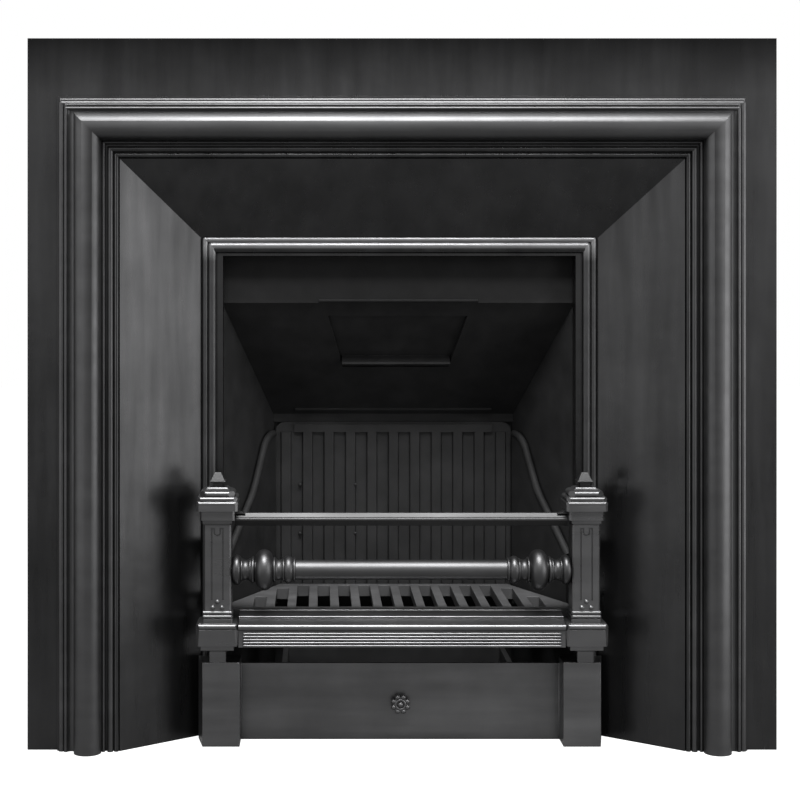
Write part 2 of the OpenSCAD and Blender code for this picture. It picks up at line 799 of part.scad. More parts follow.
module lug_screws() {
    grip = jamb_lug_t + jamb_pad + 1;
    color(STEEL) at_face() at_jamb_lugs() translate([-lug_screw_in, jamb_lug_t, 0]) {
        rotate([-90, 30, 0]) cylinder(r = lug_screw_d * 0.95, h = 4, $fn = 6);
        rotate([90, 0, 0]) cylinder(d = lug_screw_d, h = grip);
    }
}

// ---------------------------------------------------------------- grate

module grate() {
    rear = fireback_face - 4;
    cant = (brick_gap + brick_t + 4) / cos(wall_lean);
    front_hw = open_x - 8;
    bend = flange_depth + (wall_front_x - cant - front_hw) / tan(wall_lean);
    function edge_x(depth) = min(front_hw, wall_x(depth) - cant);
    color(IRON) at_face() difference() {
        translate([0, 0, ledge_z + seat_gap]) linear_extrude(grate_t) polygon([
            [front_hw, grate_front], [front_hw, bend], [edge_x(rear), rear],
            [-edge_x(rear), rear], [-front_hw, bend], [-front_hw, grate_front]
        ]);
        for (i = [0 : slot_count - 1]) {
            x = (i - (slot_count - 1) / 2) * slot_pitch;
            wide = abs(x) + slot_w / 2 + grate_rim;
            stop = wide < edge_x(rear) ? rear - grate_rim
                : flange_depth + (wall_front_x - cant - wide) / tan(wall_lean);
            translate([x, 0, 0]) along_depth(grate_front + grate_rim, stop) polygon([
                [-slot_w / 2, ledge_z + grate_t + 1], [slot_w / 2, ledge_z + grate_t + 1],
                [slot_w / 2 + 1.5, ledge_z - 1], [-slot_w / 2 - 1.5, ledge_z - 1]
            ]);
        }
    }
}

// ---------------------------------------------------------------- fire front

// Outline of a column in (x, height): stem and tapered foot, block with a rolled shoulder,
// two beads, shaft, and a neck above a fillet and a groove.
module column_outline() {
    hw = shaft_w / 2;
    bw = block_w / 2;
    face_top = block_z + block_h - 2;
    roll = 4.2;
    band(stem_foot_w / 2, plinth_h + seat_gap, block_z - 5);
    polygon([
        [-stem_foot_w / 2 - 1, block_z - 10], [stem_foot_w / 2 + 1, block_z - 10],
        [hw, block_z - 6.5], [-hw, block_z - 6.5]
    ]);
    band(bw - 6.5, block_z - 6.6, block_z + 1);
    polygon([[1.4 - bw, block_z], [bw - 1.4, block_z], [bw, face_top], [-bw, face_top]]);
    side_beads(bw - roll, block_top - 0.3 - roll, roll);
    band(bw - roll + 0.1, face_top - 1, block_top);
    band(hw + 1.7, block_top - 1, block_top + 5.6);
    side_beads(hw - 0.1, block_top + 8.4, 2.1);
    side_beads(hw - 0.6, block_top + 13.7, 2.2);
    band(hw, block_top, neck_z - 6.8);
    band(hw - 1.2, block_top, neck_z);
    band(hw + 1.2, neck_z - 4.6, neck_z);
    band(neck_w / 2, neck_z - 0.1, cap_z);
}

// Canted envelope of a column: block, base mouldings, shaft and neck.
module column_cants() {
    linear_extrude(block_top) canted_square(block_w + 0.02, block_cant);
    linear_extrude(shaft_z) canted_square(shaft_w + 6.5, 5);
    linear_extrude(neck_z - 6) canted_square(shaft_w + 0.02, 2.2);
    translate([0, 0, neck_z - 6]) linear_extrude(cap_z - neck_z + 6)
        canted_square(neck_w + 0.02, 2.5);
}

// Sinkings of the column's front panel, drawn in (x, height): a channel round it that dips
// below a hanging tongue at the head.
module column_sinking() {
    low = shaft_z + 14;
    top = neck_z - 10.5;
    channel = 2.2;
    panel_x = 8.7;
    tongue = 3.2;
    difference() {
        union() {
            for (x = [-panel_x, panel_x - channel]) {
                translate([x, low]) square([channel, top - low]);
            }
            translate([-panel_x, top - channel]) square([2 * panel_x, channel]);
            band(tongue + 1.9, top - 6, top);
            translate([0, top - 6]) circle(tongue + 2);
        }
        band(tongue - 0.1, top - 6, top + 1);
        translate([0, top - 6]) circle(tongue);
    }
}

module column(side) {
    hw = shaft_w / 2;
    on_side(side) translate([column_x, column_depth, 0]) difference() {
        union() {
            intersection() {
                square_turned(block_w) column_outline();
                column_cants();
            }
            // three balls at the foot of the front panel
            for (p = [[-6.2, 4.6], [6.2, 4.6], [0, 12.4]]) {
                translate([p.x, -hw, shaft_z + p.y]) sphere(3.1);
            }
        }
        translate([0, -hw + 1.6, 0]) rotate([90, 0, 0]) linear_extrude(4) column_sinking();
        // bores for the finial's stem and the turned bar's end pin
        translate([0, 0, cap_z - 16]) cylinder(d = stem_d + 0.2, h = 16 + over);
        translate([-hw - over, 0, bar_z]) rotate([0, 90, 0])
            cylinder(d = bar_pin_d + 0.2, h = 14 + over);
    }
}

module column_left() {
    color(IRON) at_face() column(-1);
}

module column_right() {
    color(IRON) at_face() column(1);
}

// Points of an arc in (x, height), from angle a0 to a1.
function arc(x, z, r, a0, a1) = [
    for (i = [0 : 8])
        let (a = a0 + (a1 - a0) * i / 8)
        [x + r * cos(a), z + r * sin(a)]
];

// Right-hand outline of a cap: a plain band, three rolls that draw in, and a hipped top.
function cap_edge(bw) = concat(
    [[bw - 0.6, 0], [bw - 0.6, 8.2]],
    arc(bw - 2.8, 10.2, 2.8, -40, 75),
    arc(bw - 4, 16.2, 3.2, -60, 72),
    arc(bw - 8.3, 22.9, 3.8, -60, 78),
    [[bw - 12, 28.2], [bw - 14.5, 30], [bw - 15, cap_h]]
);

module cap(side) {
    bw = block_w / 2 - 0.5;
    edge = cap_edge(bw);
    n = len(edge);
    on_side(side) translate([column_x, column_depth, cap_z]) difference() {
        intersection() {
            square_turned(block_w) polygon(concat(
                edge, [for (i = [1 : n]) [-edge[n - i].x, edge[n - i].y]]
            ));
            // the corners are canted more with each roll
            union() {
                linear_extrude(13) canted_square(2 * bw + 0.02, block_cant - 0.8);
                linear_extrude(19.4) canted_square(2 * bw - 1.4, block_cant + 0.6);
                linear_extrude(cap_h + 1) canted_square(2 * bw - 8.8, block_cant + 4);
            }
        }
        translate([0, 0, -over]) cylinder(d = stem_d + 0.2, h = cap_h + 3 * over);
    }
}

module cap_left() {
    color(POLISHED) at_face() cap(-1);
}

module cap_right() {
    color(POLISHED) at_face() cap(1);
}

module finial(side) {
    stem_l = cap_h + 14;
    on_side(side) translate([column_x, column_depth, cap_z + cap_h]) {
        square_turned(30) union() {
            band(6.5, 0, 7);
            band(9.6, 6.1, 9);
            side_beads(9.5, 7.6, 1.3);
            polygon([
                [-9.4, 8.8], [9.4, 8.8], [4.7, 18.6], [4, 19.5], [-4, 19.5], [-4.7, 18.6]
            ]);
        }
        translate([0, 0, -stem_l]) cylinder(d = stem_d, h = stem_l + 2);
    }
}

module finial_left() {
    color(POLISHED) at_face() finial(-1);
}

module finial_right() {
    color(POLISHED) at_face() finial(1);
}

module top_rail() {
    hw = column_x - neck_w / 2;
    h = rail_h / 2;
    t = rail_t / 2;
    sweep_r = 14;
    color(POLISHED) at_face() translate([0, column_depth, rail_z]) {
        // a bevelled rail with a bead along its front
        across(-hw, hw) union() {
            polygon([
                [-t + 2, -3.4], [-t + 6, -h], [t - 3, -h], [t, -h + 3],
                [t, h - 3.5], [t - 4, h], [-t + 6, h], [-t + 2, 3.4]
            ]);
            translate([-t + 2.4, 0]) circle(3.1);
        }
        // hollow-curved brackets between the rail's ends and the caps
        for (side = [-1, 1]) {
            on_side(side) along_depth(2 - t, t - 2) polygon(concat(
                [[hw - sweep_r, h - 1]],
                arc(hw - sweep_r, h + sweep_r, sweep_r, -90, -asin(1 - bracket_h / sweep_r)),
                [[hw, h + bracket_h], [hw, h - 1]]
            ));
        }
    }
}

// A hollow neck of the turned bar: a drum from y0 to y1 with a hollow cut round it.
module hollow_neck(y0, y1, shoulder, waist) {
    hollow = 7.4;
    difference() {
        translate([0, y0]) square([shoulder, y1 - y0]);
        translate([waist + hollow, (y0 + y1) / 2]) circle(hollow);
    }
}

// Half outline of the turned bar: x is the radius, y is the distance from its middle.
module bar_outline() {
    end = shaft_face_x - 0.2;
    r = bar_d / 2;
    ball_r = 11.8;
    ball_x = ball_d / 2 - ball_r;
    waist = r + 0.3;
    // plain run, fillet and fat ring
    square([r, end - 80]);
    translate([r + 1.2, end - 85.6]) circle(1.9);
    translate([0, end - 87]) square([r + 1.2, 6]);
    translate([r - 2, end - 77.5]) circle(7.4);
    translate([0, end - 84]) square([r - 2, 13]);
    hollow_neck(end - 73, end - 57, r + 2.4, waist);
    // ring, big ball, ring
    translate([r + 2.2, end - 58.2]) circle(1.9);
    translate([ball_x, end - 44.3]) circle(ball_r);
    translate([0, end - 57]) square([ball_x, 24]);
    translate([0, end - 34]) square([r + 1.5, 8]);
    translate([r + 2, end - 28.9]) circle(2.8);
    hollow_neck(end - 27, end - 12, r + 2.6, waist);
    // end ball and pin
    translate([r + 0.9, end - 6.8]) circle(6.4);
    translate([0, end - 12.6]) square([r + 0.9, 11.8]);
    square([bar_pin_d / 2, end + 13]);
}

module turned_bar() {
    color(POLISHED) at_face() translate([0, column_depth, bar_z]) for (side = [-1, 1]) {
        on_side(side) rotate([0, 90, 0]) rotate_extrude() intersection() {
            bar_outline();
            translate([0, -0.01]) square([60, frame_w]);
        }
    }
}

module base_rail() {
    hw = column_x - block_w / 2;
    roll_z = block_z + block_h + 0.6;
    back = grate_front - 5;
    color(POLISHED) at_face() {
        across(-hw, hw) union() {
            // fascia, with a ledge that climbs back to the grate
            polygon([
                [0.8, block_z - 2], [0.8, roll_z - 4], [1.4, roll_z], [3.6, roll_z + 4.2],
                [20, roll_z + 8], [20, roll_z + 10.2], [back - 11, roll_z + 14.4],
                [back - 4, roll_z + 15.4], [back, roll_z + 14], [back, roll_z + 9],
                [24, roll_z + 3], [12, roll_z - 1], [6.8, roll_z - 8], [6.8, block_z - 2]
            ]);
            translate([1.4, roll_z]) circle(4.6);
            translate([21.4, roll_z + 10.2]) circle(1.6);
            translate([back - 5.6, roll_z + 14.2]) circle(2.8);
        }
        for (i = [0 : reed_count - 1]) {
            translate([0, -0.4, block_z + 0.2 + i * reed_pitch]) rotate([0, 90, 0])
                cylinder(r = 1.9, h = 2 * (hw - 7), center = true);
        }
    }
}

// Arms behind the columns, each with a pin that drops into a lug of the front casting.
module hanging_hooks() {
    start = column_depth + shaft_w / 2;
    arm = socket_depth + 6 - start;
    color(IRON) at_face() for (side = [-1, 1], z = hook_z) {
        on_side(side) translate([column_x, 0, z + seat_gap]) {
            translate([-6, start, 0]) cube([12, arm, 9]);
            translate([0, socket_depth, -hook_pin_l]) cylinder(d = hook_pin_d, h = hook_pin_l + 1);
        }
    }
}

// ---------------------------------------------------------------- ashpan cover and pan

// One plinth's plan: front face, flared outer side and straight inner side.
module plinth_plan(inset) {
    x0 = column_x - 30 + inset;
    x1 = x0 - inset + plinth_w - inset;
    back = cover_depth + cover_t;
    polygon([
        [x0, plinth_depth + inset], [x1, plinth_depth + inset],
        [x1 + plinth_flare, inset > 0 ? back + over : back], [x0, inset > 0 ? back + over : back]
    ]);
}

module ashpan_cover() {
    color(IRON) at_face() difference() {
        union() {
            translate([-column_x + 29, cover_depth, 0]) cube([2 * column_x - 58, cover_t, cover_h]);
            for (side = [-1, 1]) {
                on_side(side) difference() {
                    linear_extrude(plinth_h) plinth_plan(0);
                    translate([0, 0, -over]) linear_extrude(plinth_h - cover_t + over)
                        plinth_plan(cover_t);
                }
            }
        }
        translate([0, cover_depth + cover_t + over, knob_z]) rotate([90, 0, 0])
            cylinder(d = 6.4, h = cover_t + 2 * over);
    }
}

module cover_knob() {
    r = knob_d / 2;
    petal_r = r * 0.27;
    color(IRON) at_face() translate([0, cover_depth - knob_standoff, knob_z]) {
        rotate([90, 0, 0]) cylinder(r = r - petal_r * 1.1, h = 5);
        translate([0, -5, 0]) rotate([90, 0, 0]) rotate_extrude()
            translate([r * 0.46, 0]) circle(1.7);
        translate([0, -4.4, 0]) sphere(r * 0.3);
        for (i = [0 : 7]) {
            rotate([0, i * 45 + 22.5, 0]) translate([r - petal_r, -2.6, 0]) sphere(petal_r);
        }
        translate([0, -1, 0]) rotate([-90, 0, 0]) cylinder(d = 9, h = knob_standoff + 1);
        rotate([-90, 0, 0]) cylinder(d = 6, h = knob_standoff + cover_t + 6);
    }
}

module knob_nut() {
    color(STEEL) at_face() translate([0, cover_depth + cover_t, knob_z]) difference() {
        rotate([-90, 30, 0]) cylinder(r = 5.8, h = 4.5, $fn = 6);
        translate([0, -over, 0]) rotate([-90, 0, 0]) cylinder(d = 6.2, h = 4.5 + 2 * over);
    }
}

pan_front = cover_depth + cover_t + 13;

module ash_pan() {
    hw = pan_w / 2;
    rim = 6;
    color(STEEL) at_face() translate([0, pan_front, 0]) difference() {
        union() {
            translate([-hw, 0, 0]) cube([pan_w, pan_l, pan_h]);
            translate([-hw - rim, 0, pan_h - pan_t]) cube([pan_w + 2 * rim, pan_l, pan_t]);
        }
        translate([pan_t - hw, pan_t, pan_t])
            cube([pan_w - 2 * pan_t, pan_l - 2 * pan_t, pan_h]);
    }
}

module pan_handle() {
    rod = 6;
    z = pan_h - 14;
    half = 46;
    reach = 8;
    color(STEEL) at_face() translate([0, pan_front, z]) {
        translate([0, -reach, 0]) rotate([0, 90, 0]) cylinder(d = rod, h = 2 * half, center = true);
        for (side = [-1, 1]) {
            translate([side * (half - 8), 0, 0]) rotate([90, 0, 0]) cylinder(d = rod - 1, h = reach);
        }
    }
}

// ---------------------------------------------------------------- nodes

front_frame();
hood_plate();
side_plate_left();
side_plate_right();
rear_plate();
fireback();
side_brick_left();
side_brick_right();
damper_lugs();
damper_pin();
damper_flap();
front_bolts();
front_nuts();
rear_bolts();
rear_nuts();
jamb_lugs();
lug_screws();
grate();
column_left();
column_right();
cap_left();
cap_right();
finial_left();
finial_right();
top_rail();
turned_bar();
base_rail();
hanging_hooks();
ashpan_cover();
cover_knob();
knob_nut();
ash_pan();
pan_handle();
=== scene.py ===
"""Cast iron register fireplace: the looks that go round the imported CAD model.

The CAD frame is loaded as it is. Castings are shown as softened copies of their CAD nodes,
with the small radii that a sand casting has. The bolts, the ribbed fireback, the reeds of the
base rail, the turned bar and the rosette knob follow rules, so Geometry Nodes make them.
Every piece rides on the CAD body that it belongs to.
All sizes are in metres. X runs across the front, Y back into the wall and Z up.
"""

import logging
import math
from collections.abc import Sequence
from dataclasses import dataclass, field
from enum import Enum

import bmesh
import bpy
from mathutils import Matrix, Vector


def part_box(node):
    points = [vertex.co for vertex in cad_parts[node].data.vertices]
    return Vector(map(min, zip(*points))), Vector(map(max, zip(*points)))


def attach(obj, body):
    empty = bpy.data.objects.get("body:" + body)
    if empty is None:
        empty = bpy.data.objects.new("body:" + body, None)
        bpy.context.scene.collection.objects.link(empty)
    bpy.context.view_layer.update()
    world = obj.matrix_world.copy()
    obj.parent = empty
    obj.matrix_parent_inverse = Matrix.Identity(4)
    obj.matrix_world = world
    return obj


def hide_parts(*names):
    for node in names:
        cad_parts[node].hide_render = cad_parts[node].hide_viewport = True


LOG = logging.getLogger("fireplace")
MM = 0.001

# The margin's front face, which depths are measured back from.
FACE_Y = -123.25 * MM

Socket = bpy.types.NodeSocket
Feed = Socket | float | int | bool | str | tuple | list | bpy.types.Material
Place = tuple[float, float, float]

# Edges that turn by more than CRISP degrees stay crisp, and by less than FLAT aren't kept.
CRISP = 32.0
FLAT = 0.4
# Corners nearer than this are one corner.
WELD = 1e-6
# The middle part of a noise texture's values.
NOISE_MIDDLE = (0.3, 0.7)

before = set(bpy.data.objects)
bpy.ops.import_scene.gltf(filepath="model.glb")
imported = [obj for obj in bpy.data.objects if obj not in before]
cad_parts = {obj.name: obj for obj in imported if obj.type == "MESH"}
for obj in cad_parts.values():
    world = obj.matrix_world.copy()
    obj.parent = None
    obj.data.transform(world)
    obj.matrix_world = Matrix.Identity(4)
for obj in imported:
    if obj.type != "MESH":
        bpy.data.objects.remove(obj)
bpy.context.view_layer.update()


class Body(Enum):
    """The bodies of the frame that pieces ride on."""

    FIREPLACE = "fireplace"
    DAMPER = "damper"
    GRATE = "grate"
    FIRE_FRONT = "fire_front"
    ASHPAN_COVER = "ashpan_cover"
    ASH_PAN = "ash_pan"


class Grain(Enum):
    """Which way a skin's rubbing marks run, as the scale its texture is read at."""

    PLAIN = (1.0, 1.0, 1.0)
    UPRIGHT = (1.0, 1.0, 0.10)
    LEVEL = (0.10, 1.0, 1.0)


# ---- node trees


@dataclass(frozen=True)
class Noise:
    """A noise texture.

    Attributes:
        scale: Its cells to the metre.
        detail: Its octaves.
    """

    scale: float
    detail: float


class Nodes:
    """A node tree that is written a node at a time."""

    def __init__(self, group: bpy.types.NodeTree) -> None:
        """Takes up a tree of Blender's."""
        self.group = group

    def feed(self, node: bpy.types.Node, feeds: dict[str | int, Feed]) -> None:
        """Fills in a node's inputs.

        Args:
            node: The node.
            feeds: What goes into its inputs: sockets, lists of sockets, or values.
        """
        for key, value in feeds.items():
            for item in value if isinstance(value, list) else [value]:
                if isinstance(item, Socket):
                    self.group.links.new(item, node.inputs[key])
                else:
                    node.inputs[key].default_value = item

    def add(
        self, kind: str, feeds: dict[str | int, Feed], give: str | int = 0, **options: str | int
    ) -> Socket:
        """Adds a node.

        Args:
            kind: The node's type.
            feeds: What goes into its inputs.
            give: The output that is wanted.
            **options: The node's own settings.

        Returns:
            The output's socket.
        """
        node = self.group.nodes.new(kind)
        for key, value in options.items():
            setattr(node, key, value)
        self.feed(node, feeds)
        return node.outputs[give]

    def sum(self, operation: str, first: Feed, second: Feed = 0.0, third: Feed = 0.0) -> Socket:
        """Does a sum, which a Math node's operation names, on up to three values."""
        return self.add("ShaderNodeMath", {0: first, 1: second, 2: third}, operation=operation)

    def times(self, first: Feed, second: Feed) -> Socket:
        """Multiplies two values."""
        return self.sum("MULTIPLY", first, second)

    def noise(self, place: Socket, noise: Noise) -> Socket:
        """Adds a noise texture that is read at a place."""
        feeds = {"Vector": place, "Scale": noise.scale, "Detail": noise.detail}
        return self.add("ShaderNodeTexNoise", feeds, "Fac")

    def map(
        self, value: Socket, low: float, high: float, ends: tuple[float, float] = NOISE_MIDDLE
    ) -> Socket:
        """Maps a value's range evenly onto low to high.

        Args:
            value: The value.
            low: What it becomes at the first end of its range, and below.
            high: What it becomes at the other end, and above.
            ends: Its range.

        Returns:
            The mapped value's socket.
        """
        feeds = {"Value": value, 1: ends[0], 2: ends[1], 3: low, 4: high}
        return self.add("ShaderNodeMapRange", feeds, "Result")


# ---- finishes


@dataclass(frozen=True)
class Fade:
    """A tone that changes evenly with height.

    Attributes:
        low: Height where the change starts.
        high: Height where it ends.
        gain: What the tone is multiplied by from there up.
    """

    low: float
    high: float
    gain: float


@dataclass(frozen=True)
class IronFinish:
    """A cast iron skin: black-leaded, rubbed bright or sooted.

    Attributes:
        name: The material's name.
        tone: Linear grey of the skin, which is also its shine seen square on.
        metal: How metallic the skin is, 1 for polished graphite and 0 for soot.
        roughness: Mean roughness.
        mottle: How far the tone wanders, as a part of itself.
        pitting: Height of the sand grain.
        unevenness: Height of the casting's slow waves.
        grain: Which way the rubbing marks run.
        fade: How the tone changes with height, if it does.
        hollow: How wide a hollow gets painted shade, which also stands for the polish that
            misses it.
        hollow_shade_tone: What the tone is multiplied by in there, as painted shade.
        gloss: Shine of the part that isn't metallic, 0.5 for bare paint.
        smearing: How far the roughness wanders, either way.
        coolness: Blue as a part of the grey.
        hollow_rays: How many rays look for hollows.
        cloud: Noise of the mottle.
        streak: Noise of the rubbing marks.
        smear: Noise of the roughness.
        slow: Noise of the waves.
        sand: Noise of the sand grain.
    """

    name: str
    tone: float
    metal: float
    roughness: float
    mottle: float
    pitting: float
    unevenness: float = 0.0
    grain: Grain = Grain.PLAIN
    fade: Fade | None = None
    hollow: float = 6 * MM
    hollow_shade_tone: float = 0.42
    gloss: float = 0.5
    smearing: float = 0.05
    coolness: float = 1.02
    hollow_rays: int = 8
    cloud: Noise = Noise(11.0, 6.0)
    streak: Noise = Noise(34.0, 5.0)
    smear: Noise = Noise(70.0, 4.0)
    slow: Noise = Noise(24.0, 2.0)
    sand: Noise = Noise(560.0, 3.0)

    def build(self) -> bpy.types.Material:
        """Makes the material.

        Returns:
            A procedural material that reads Object coordinates.
        """
        material = bpy.data.materials.new(self.name)
        material.use_nodes = True
        tree = Nodes(material.node_tree)
        place = tree.add("ShaderNodeTexCoord", {}, "Object")
        rubbed = tree.add("ShaderNodeMapping", {"Vector": place, "Scale": self.grain.value})

        cloud, streak = (
            tree.map(noise, 1 - self.mottle, 1 + self.mottle)
            for noise in (tree.noise(place, self.cloud), tree.noise(rubbed, self.streak))
        )
        # Painted shade: ambient occlusion darkens the hollows, and also stands for the polish
        # that misses them.
        kind, rays = "ShaderNodeAmbientOcclusion", self.hollow_rays
        open_sky = tree.add(kind, {"Distance": self.hollow}, "AO", samples=rays)
        hollows = tree.map(open_sky, self.hollow_shade_tone, 1.0)
        grey = tree.times(tree.times(cloud, streak), hollows)
        # The tone changes with height where a finish has a Fade: painted shade at the blacked
        # margin's top, a painted highlight on the opening band's top run, and a halved tone
        # high on the sooted plates.
        if self.fade:
            height = tree.add("ShaderNodeSeparateXYZ", {0: place}, "Z")
            ends = (self.fade.low, self.fade.high)
            grey = tree.times(grey, tree.map(height, 1.0, self.fade.gain, ends))
        feeds = {0: (self.tone, self.tone, self.tone * self.coolness), "Scale": grey}
        colour = tree.add("ShaderNodeVectorMath", feeds, operation="SCALE")

        smear = tree.noise(rubbed, self.smear)
        least, most = self.roughness - self.smearing, self.roughness + self.smearing
        waves = self._bump(tree, tree.noise(place, self.slow), self.unevenness)
        grit = self._bump(tree, tree.noise(place, self.sand), self.pitting, waves)
        feeds = {
            "Base Color": colour,
            "Metallic": self.metal,
            "Specular IOR Level": self.gloss,
            "Roughness": tree.map(smear, least, most),
            "Normal": grit,
        }
        tree.feed(tree.group.nodes["Principled BSDF"], feeds)
        return material

    @staticmethod
    def _bump(
        tree: Nodes, height: Socket, distance: float, under: Socket | None = None
    ) -> Socket:
        """Adds bumps.

        Args:
            tree: The material's node tree.
            height: The bumps' pattern.
            distance: Their height.
            under: The bumps that they lie on, if there are any.

        Returns:
            The bumpy surface's normals.
        """
        feeds = {"Height": height, "Distance": distance, "Strength": 1.0 if distance else 0.0}
        if under is not None:
            feeds["Normal"] = under
        return tree.add("ShaderNodeBump", feeds)


# Its Fade is painted shade: the margin's tone darkens towards its top edge, to 0.22 of itself
# above 966 mm.
BLACKED_PAINTED_TOP_SHADE = IronFinish(
    "blacked_iron_painted_top_shade", 0.037, 0.94, 0.30, 0.14, 0.00006, 0.0005, Grain.UPRIGHT,
    Fade(0.890, 0.966, 0.22),
)
# Rubbing wear on the raised roll, beads and turned bar, and also a painted highlight: a lighter
# skin than the blacked one, with less painted shade in its hollows.
BURNISHED_PAINTED_HIGHLIGHT = IronFinish(
    "burnished_iron_painted_highlight", 0.059, 0.94, 0.42, 0.10, 0.00004, 0.0004, Grain.LEVEL, hollow_shade_tone=0.85
)
# Its Fade is a painted highlight: the band's tone is four times brighter above 686 mm, along
# its run over the fire opening.
BAND_PAINTED_HIGHLIGHT = IronFinish(
    "band_iron_painted_highlight", 0.050, 0.94, 0.42, 0.10, 0.00004, 0.0004, Grain.LEVEL,
    Fade(0.664, 0.686, 4.0),
)
COVER = IronFinish("cover_iron", 0.100, 0.90, 0.33, 0.14, 0.00006, 0.0005, Grain.LEVEL)
RUBBED = IronFinish("rubbed_iron", 0.098, 0.85, 0.31, 0.14, 0.00006, 0.0003, Grain.LEVEL)
WORN = IronFinish("worn_rail_iron", 0.021, 0.6, 0.42, 0.16, 0.00006, 0.0003, Grain.LEVEL)
# Its Fade halves the plates' tone above 612 mm.
SOOTED = IronFinish(
    "sooted_iron", 0.015, 0.10, 0.68, 0.22, 0.00012, 0.0004, fade=Fade(0.590, 0.612, 0.5),
    gloss=0.15,
)
SCALED = IronFinish("fireback_iron", 0.018, 0.10, 0.58, 0.22, 0.00014, 0.0003, gloss=0.25)
BURNT = IronFinish("grate_iron", 0.064, 0.15, 0.60, 0.20, 0.00010, 0.0003, gloss=0.3)
STEEL = IronFinish("bolt_steel", 0.16, 1.0, 0.42, 0.12, 0.00003)
SHEET = IronFinish("black_sheet", 0.030, 0.4, 0.50, 0.15, 0.00002, 0.0004, Grain.LEVEL)

_MATERIALS: dict[str, bpy.types.Material] = {}


def dressed(finish: IronFinish) -> bpy.types.Material:
    """Builds a finish the first time it is asked for.

    Args:
        finish: The finish that is wanted.

    Returns:
        Its one material.
    """
    if finish.name not in _MATERIALS:
        _MATERIALS[finish.name] = finish.build()
    return _MATERIALS[finish.name]


# ---- pieces


@dataclass(frozen=True)
class Piece:
    """One piece that was made, for the log.

    Attributes:
        name: The piece's name.
        faces: How many faces it has.
        body: The body it rides on.
    """

    name: str
    faces: int
    body: Body


def put(name: str, data: bpy.types.ID) -> bpy.types.Object:
    """Puts an object in the scene.

    Args:
        name: Its name.
        data: Its mesh, light or camera.

    Returns:
        The object.
    """
    thing = bpy.data.objects.new(name, data)
    bpy.context.scene.collection.objects.link(thing)
    return thing


def merged(node: str) -> bmesh.types.BMesh:
    """Copies a CAD node's triangles and joins them along their edges.

    Args:
        node: The CAD node.

    Returns:
        The joined copy, which the caller frees.
    """
    work = bmesh.new()
    work.from_mesh(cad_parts[node].data)
    bmesh.ops.remove_doubles(work, verts=work.verts, dist=WELD)
    return work


def solids(node: str) -> list[tuple[Vector, Vector]]:
    """Finds the box of each separate solid in a CAD node.

    Args:
        node: The CAD node.

    Returns:
        Lowest and highest corners, in order of place.
    """
    work = merged(node)
    left = set(work.verts)
    boxes = []
    while left:
        queue = [left.pop()]
        island = list(queue)
        while queue:
            for edge in queue.pop().link_edges:
                for corner in edge.verts:
                    if corner in left:
                        left.remove(corner)
                        queue.append(corner)
                        island.append(corner)
        spread = list(zip(*(corner.co for corner in island)))
        boxes.append((Vector(map(min, spread)), Vector(map(max, spread))))
    work.free()
    return sorted(boxes, key=lambda box: tuple(round(c, 5) for c in box[0]))


def shade(mesh: bpy.types.Mesh) -> None:
    """Smooths a mesh's faces, but keeps its crisp edges sharp.

    Args:
        mesh: The mesh.
    """
    for face in mesh.polygons:
        face.use_smooth = True
    mesh.set_sharp_from_angle(angle=math.radians(CRISP))


def ease(thing: bpy.types.Object, radius: float) -> None:
    """Rounds a piece's crisp edges a little.

    Args:
        thing: The piece.
        radius: Radius of the edges.
    """
    bevel = thing.modifiers.new("edges", "BEVEL")
    bevel.width = radius
    bevel.segments = 2
    bevel.limit_method = "ANGLE"
    bevel.angle_limit = math.radians(CRISP)
    even = thing.modifiers.new("even_shading", "WEIGHTED_NORMAL")
    even.mode = "FACE_AREA"
    even.weight = 50
    even.keep_sharp = True


def cast(node: str, finish: IronFinish, body: Body, radius: float) -> Piece:
    """Shows a CAD node as a casting with small edge radii.

    Args:
        node: The CAD node.
        finish: The casting's finish.
        body: The body it rides on.
        radius: Radius of the edges.

    Returns:
        The piece.
    """
    work = merged(node)
    bmesh.ops.dissolve_limit(
        work, angle_limit=math.radians(FLAT), verts=work.verts, edges=work.edges
    )
    mesh = bpy.data.meshes.new(node + "_skin")
    work.to_mesh(mesh)
    work.free()
    stale = mesh.attributes.get("custom_normal")
    if stale:
        mesh.attributes.remove(stale)
    mesh.materials.clear()
    mesh.materials.append(dressed(finish))
    shade(mesh)
    skin = put(mesh.name, mesh)
    ease(skin, radius)
    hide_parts(node)
    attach(skin, body.value)
    return Piece(skin.name, len(mesh.polygons), body)


def paint(node: str, finish: IronFinish, body: Body) -> Piece:
    """Gives a CAD node its finish and leaves its shape.

    Args:
        node: The CAD node.
        finish: Its finish.
        body: The body it belongs to.

    Returns:
        The piece.
    """
    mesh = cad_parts[node].data
    mesh.materials.clear()
    mesh.materials.append(dressed(finish))
    return Piece(node, len(mesh.polygons), body)


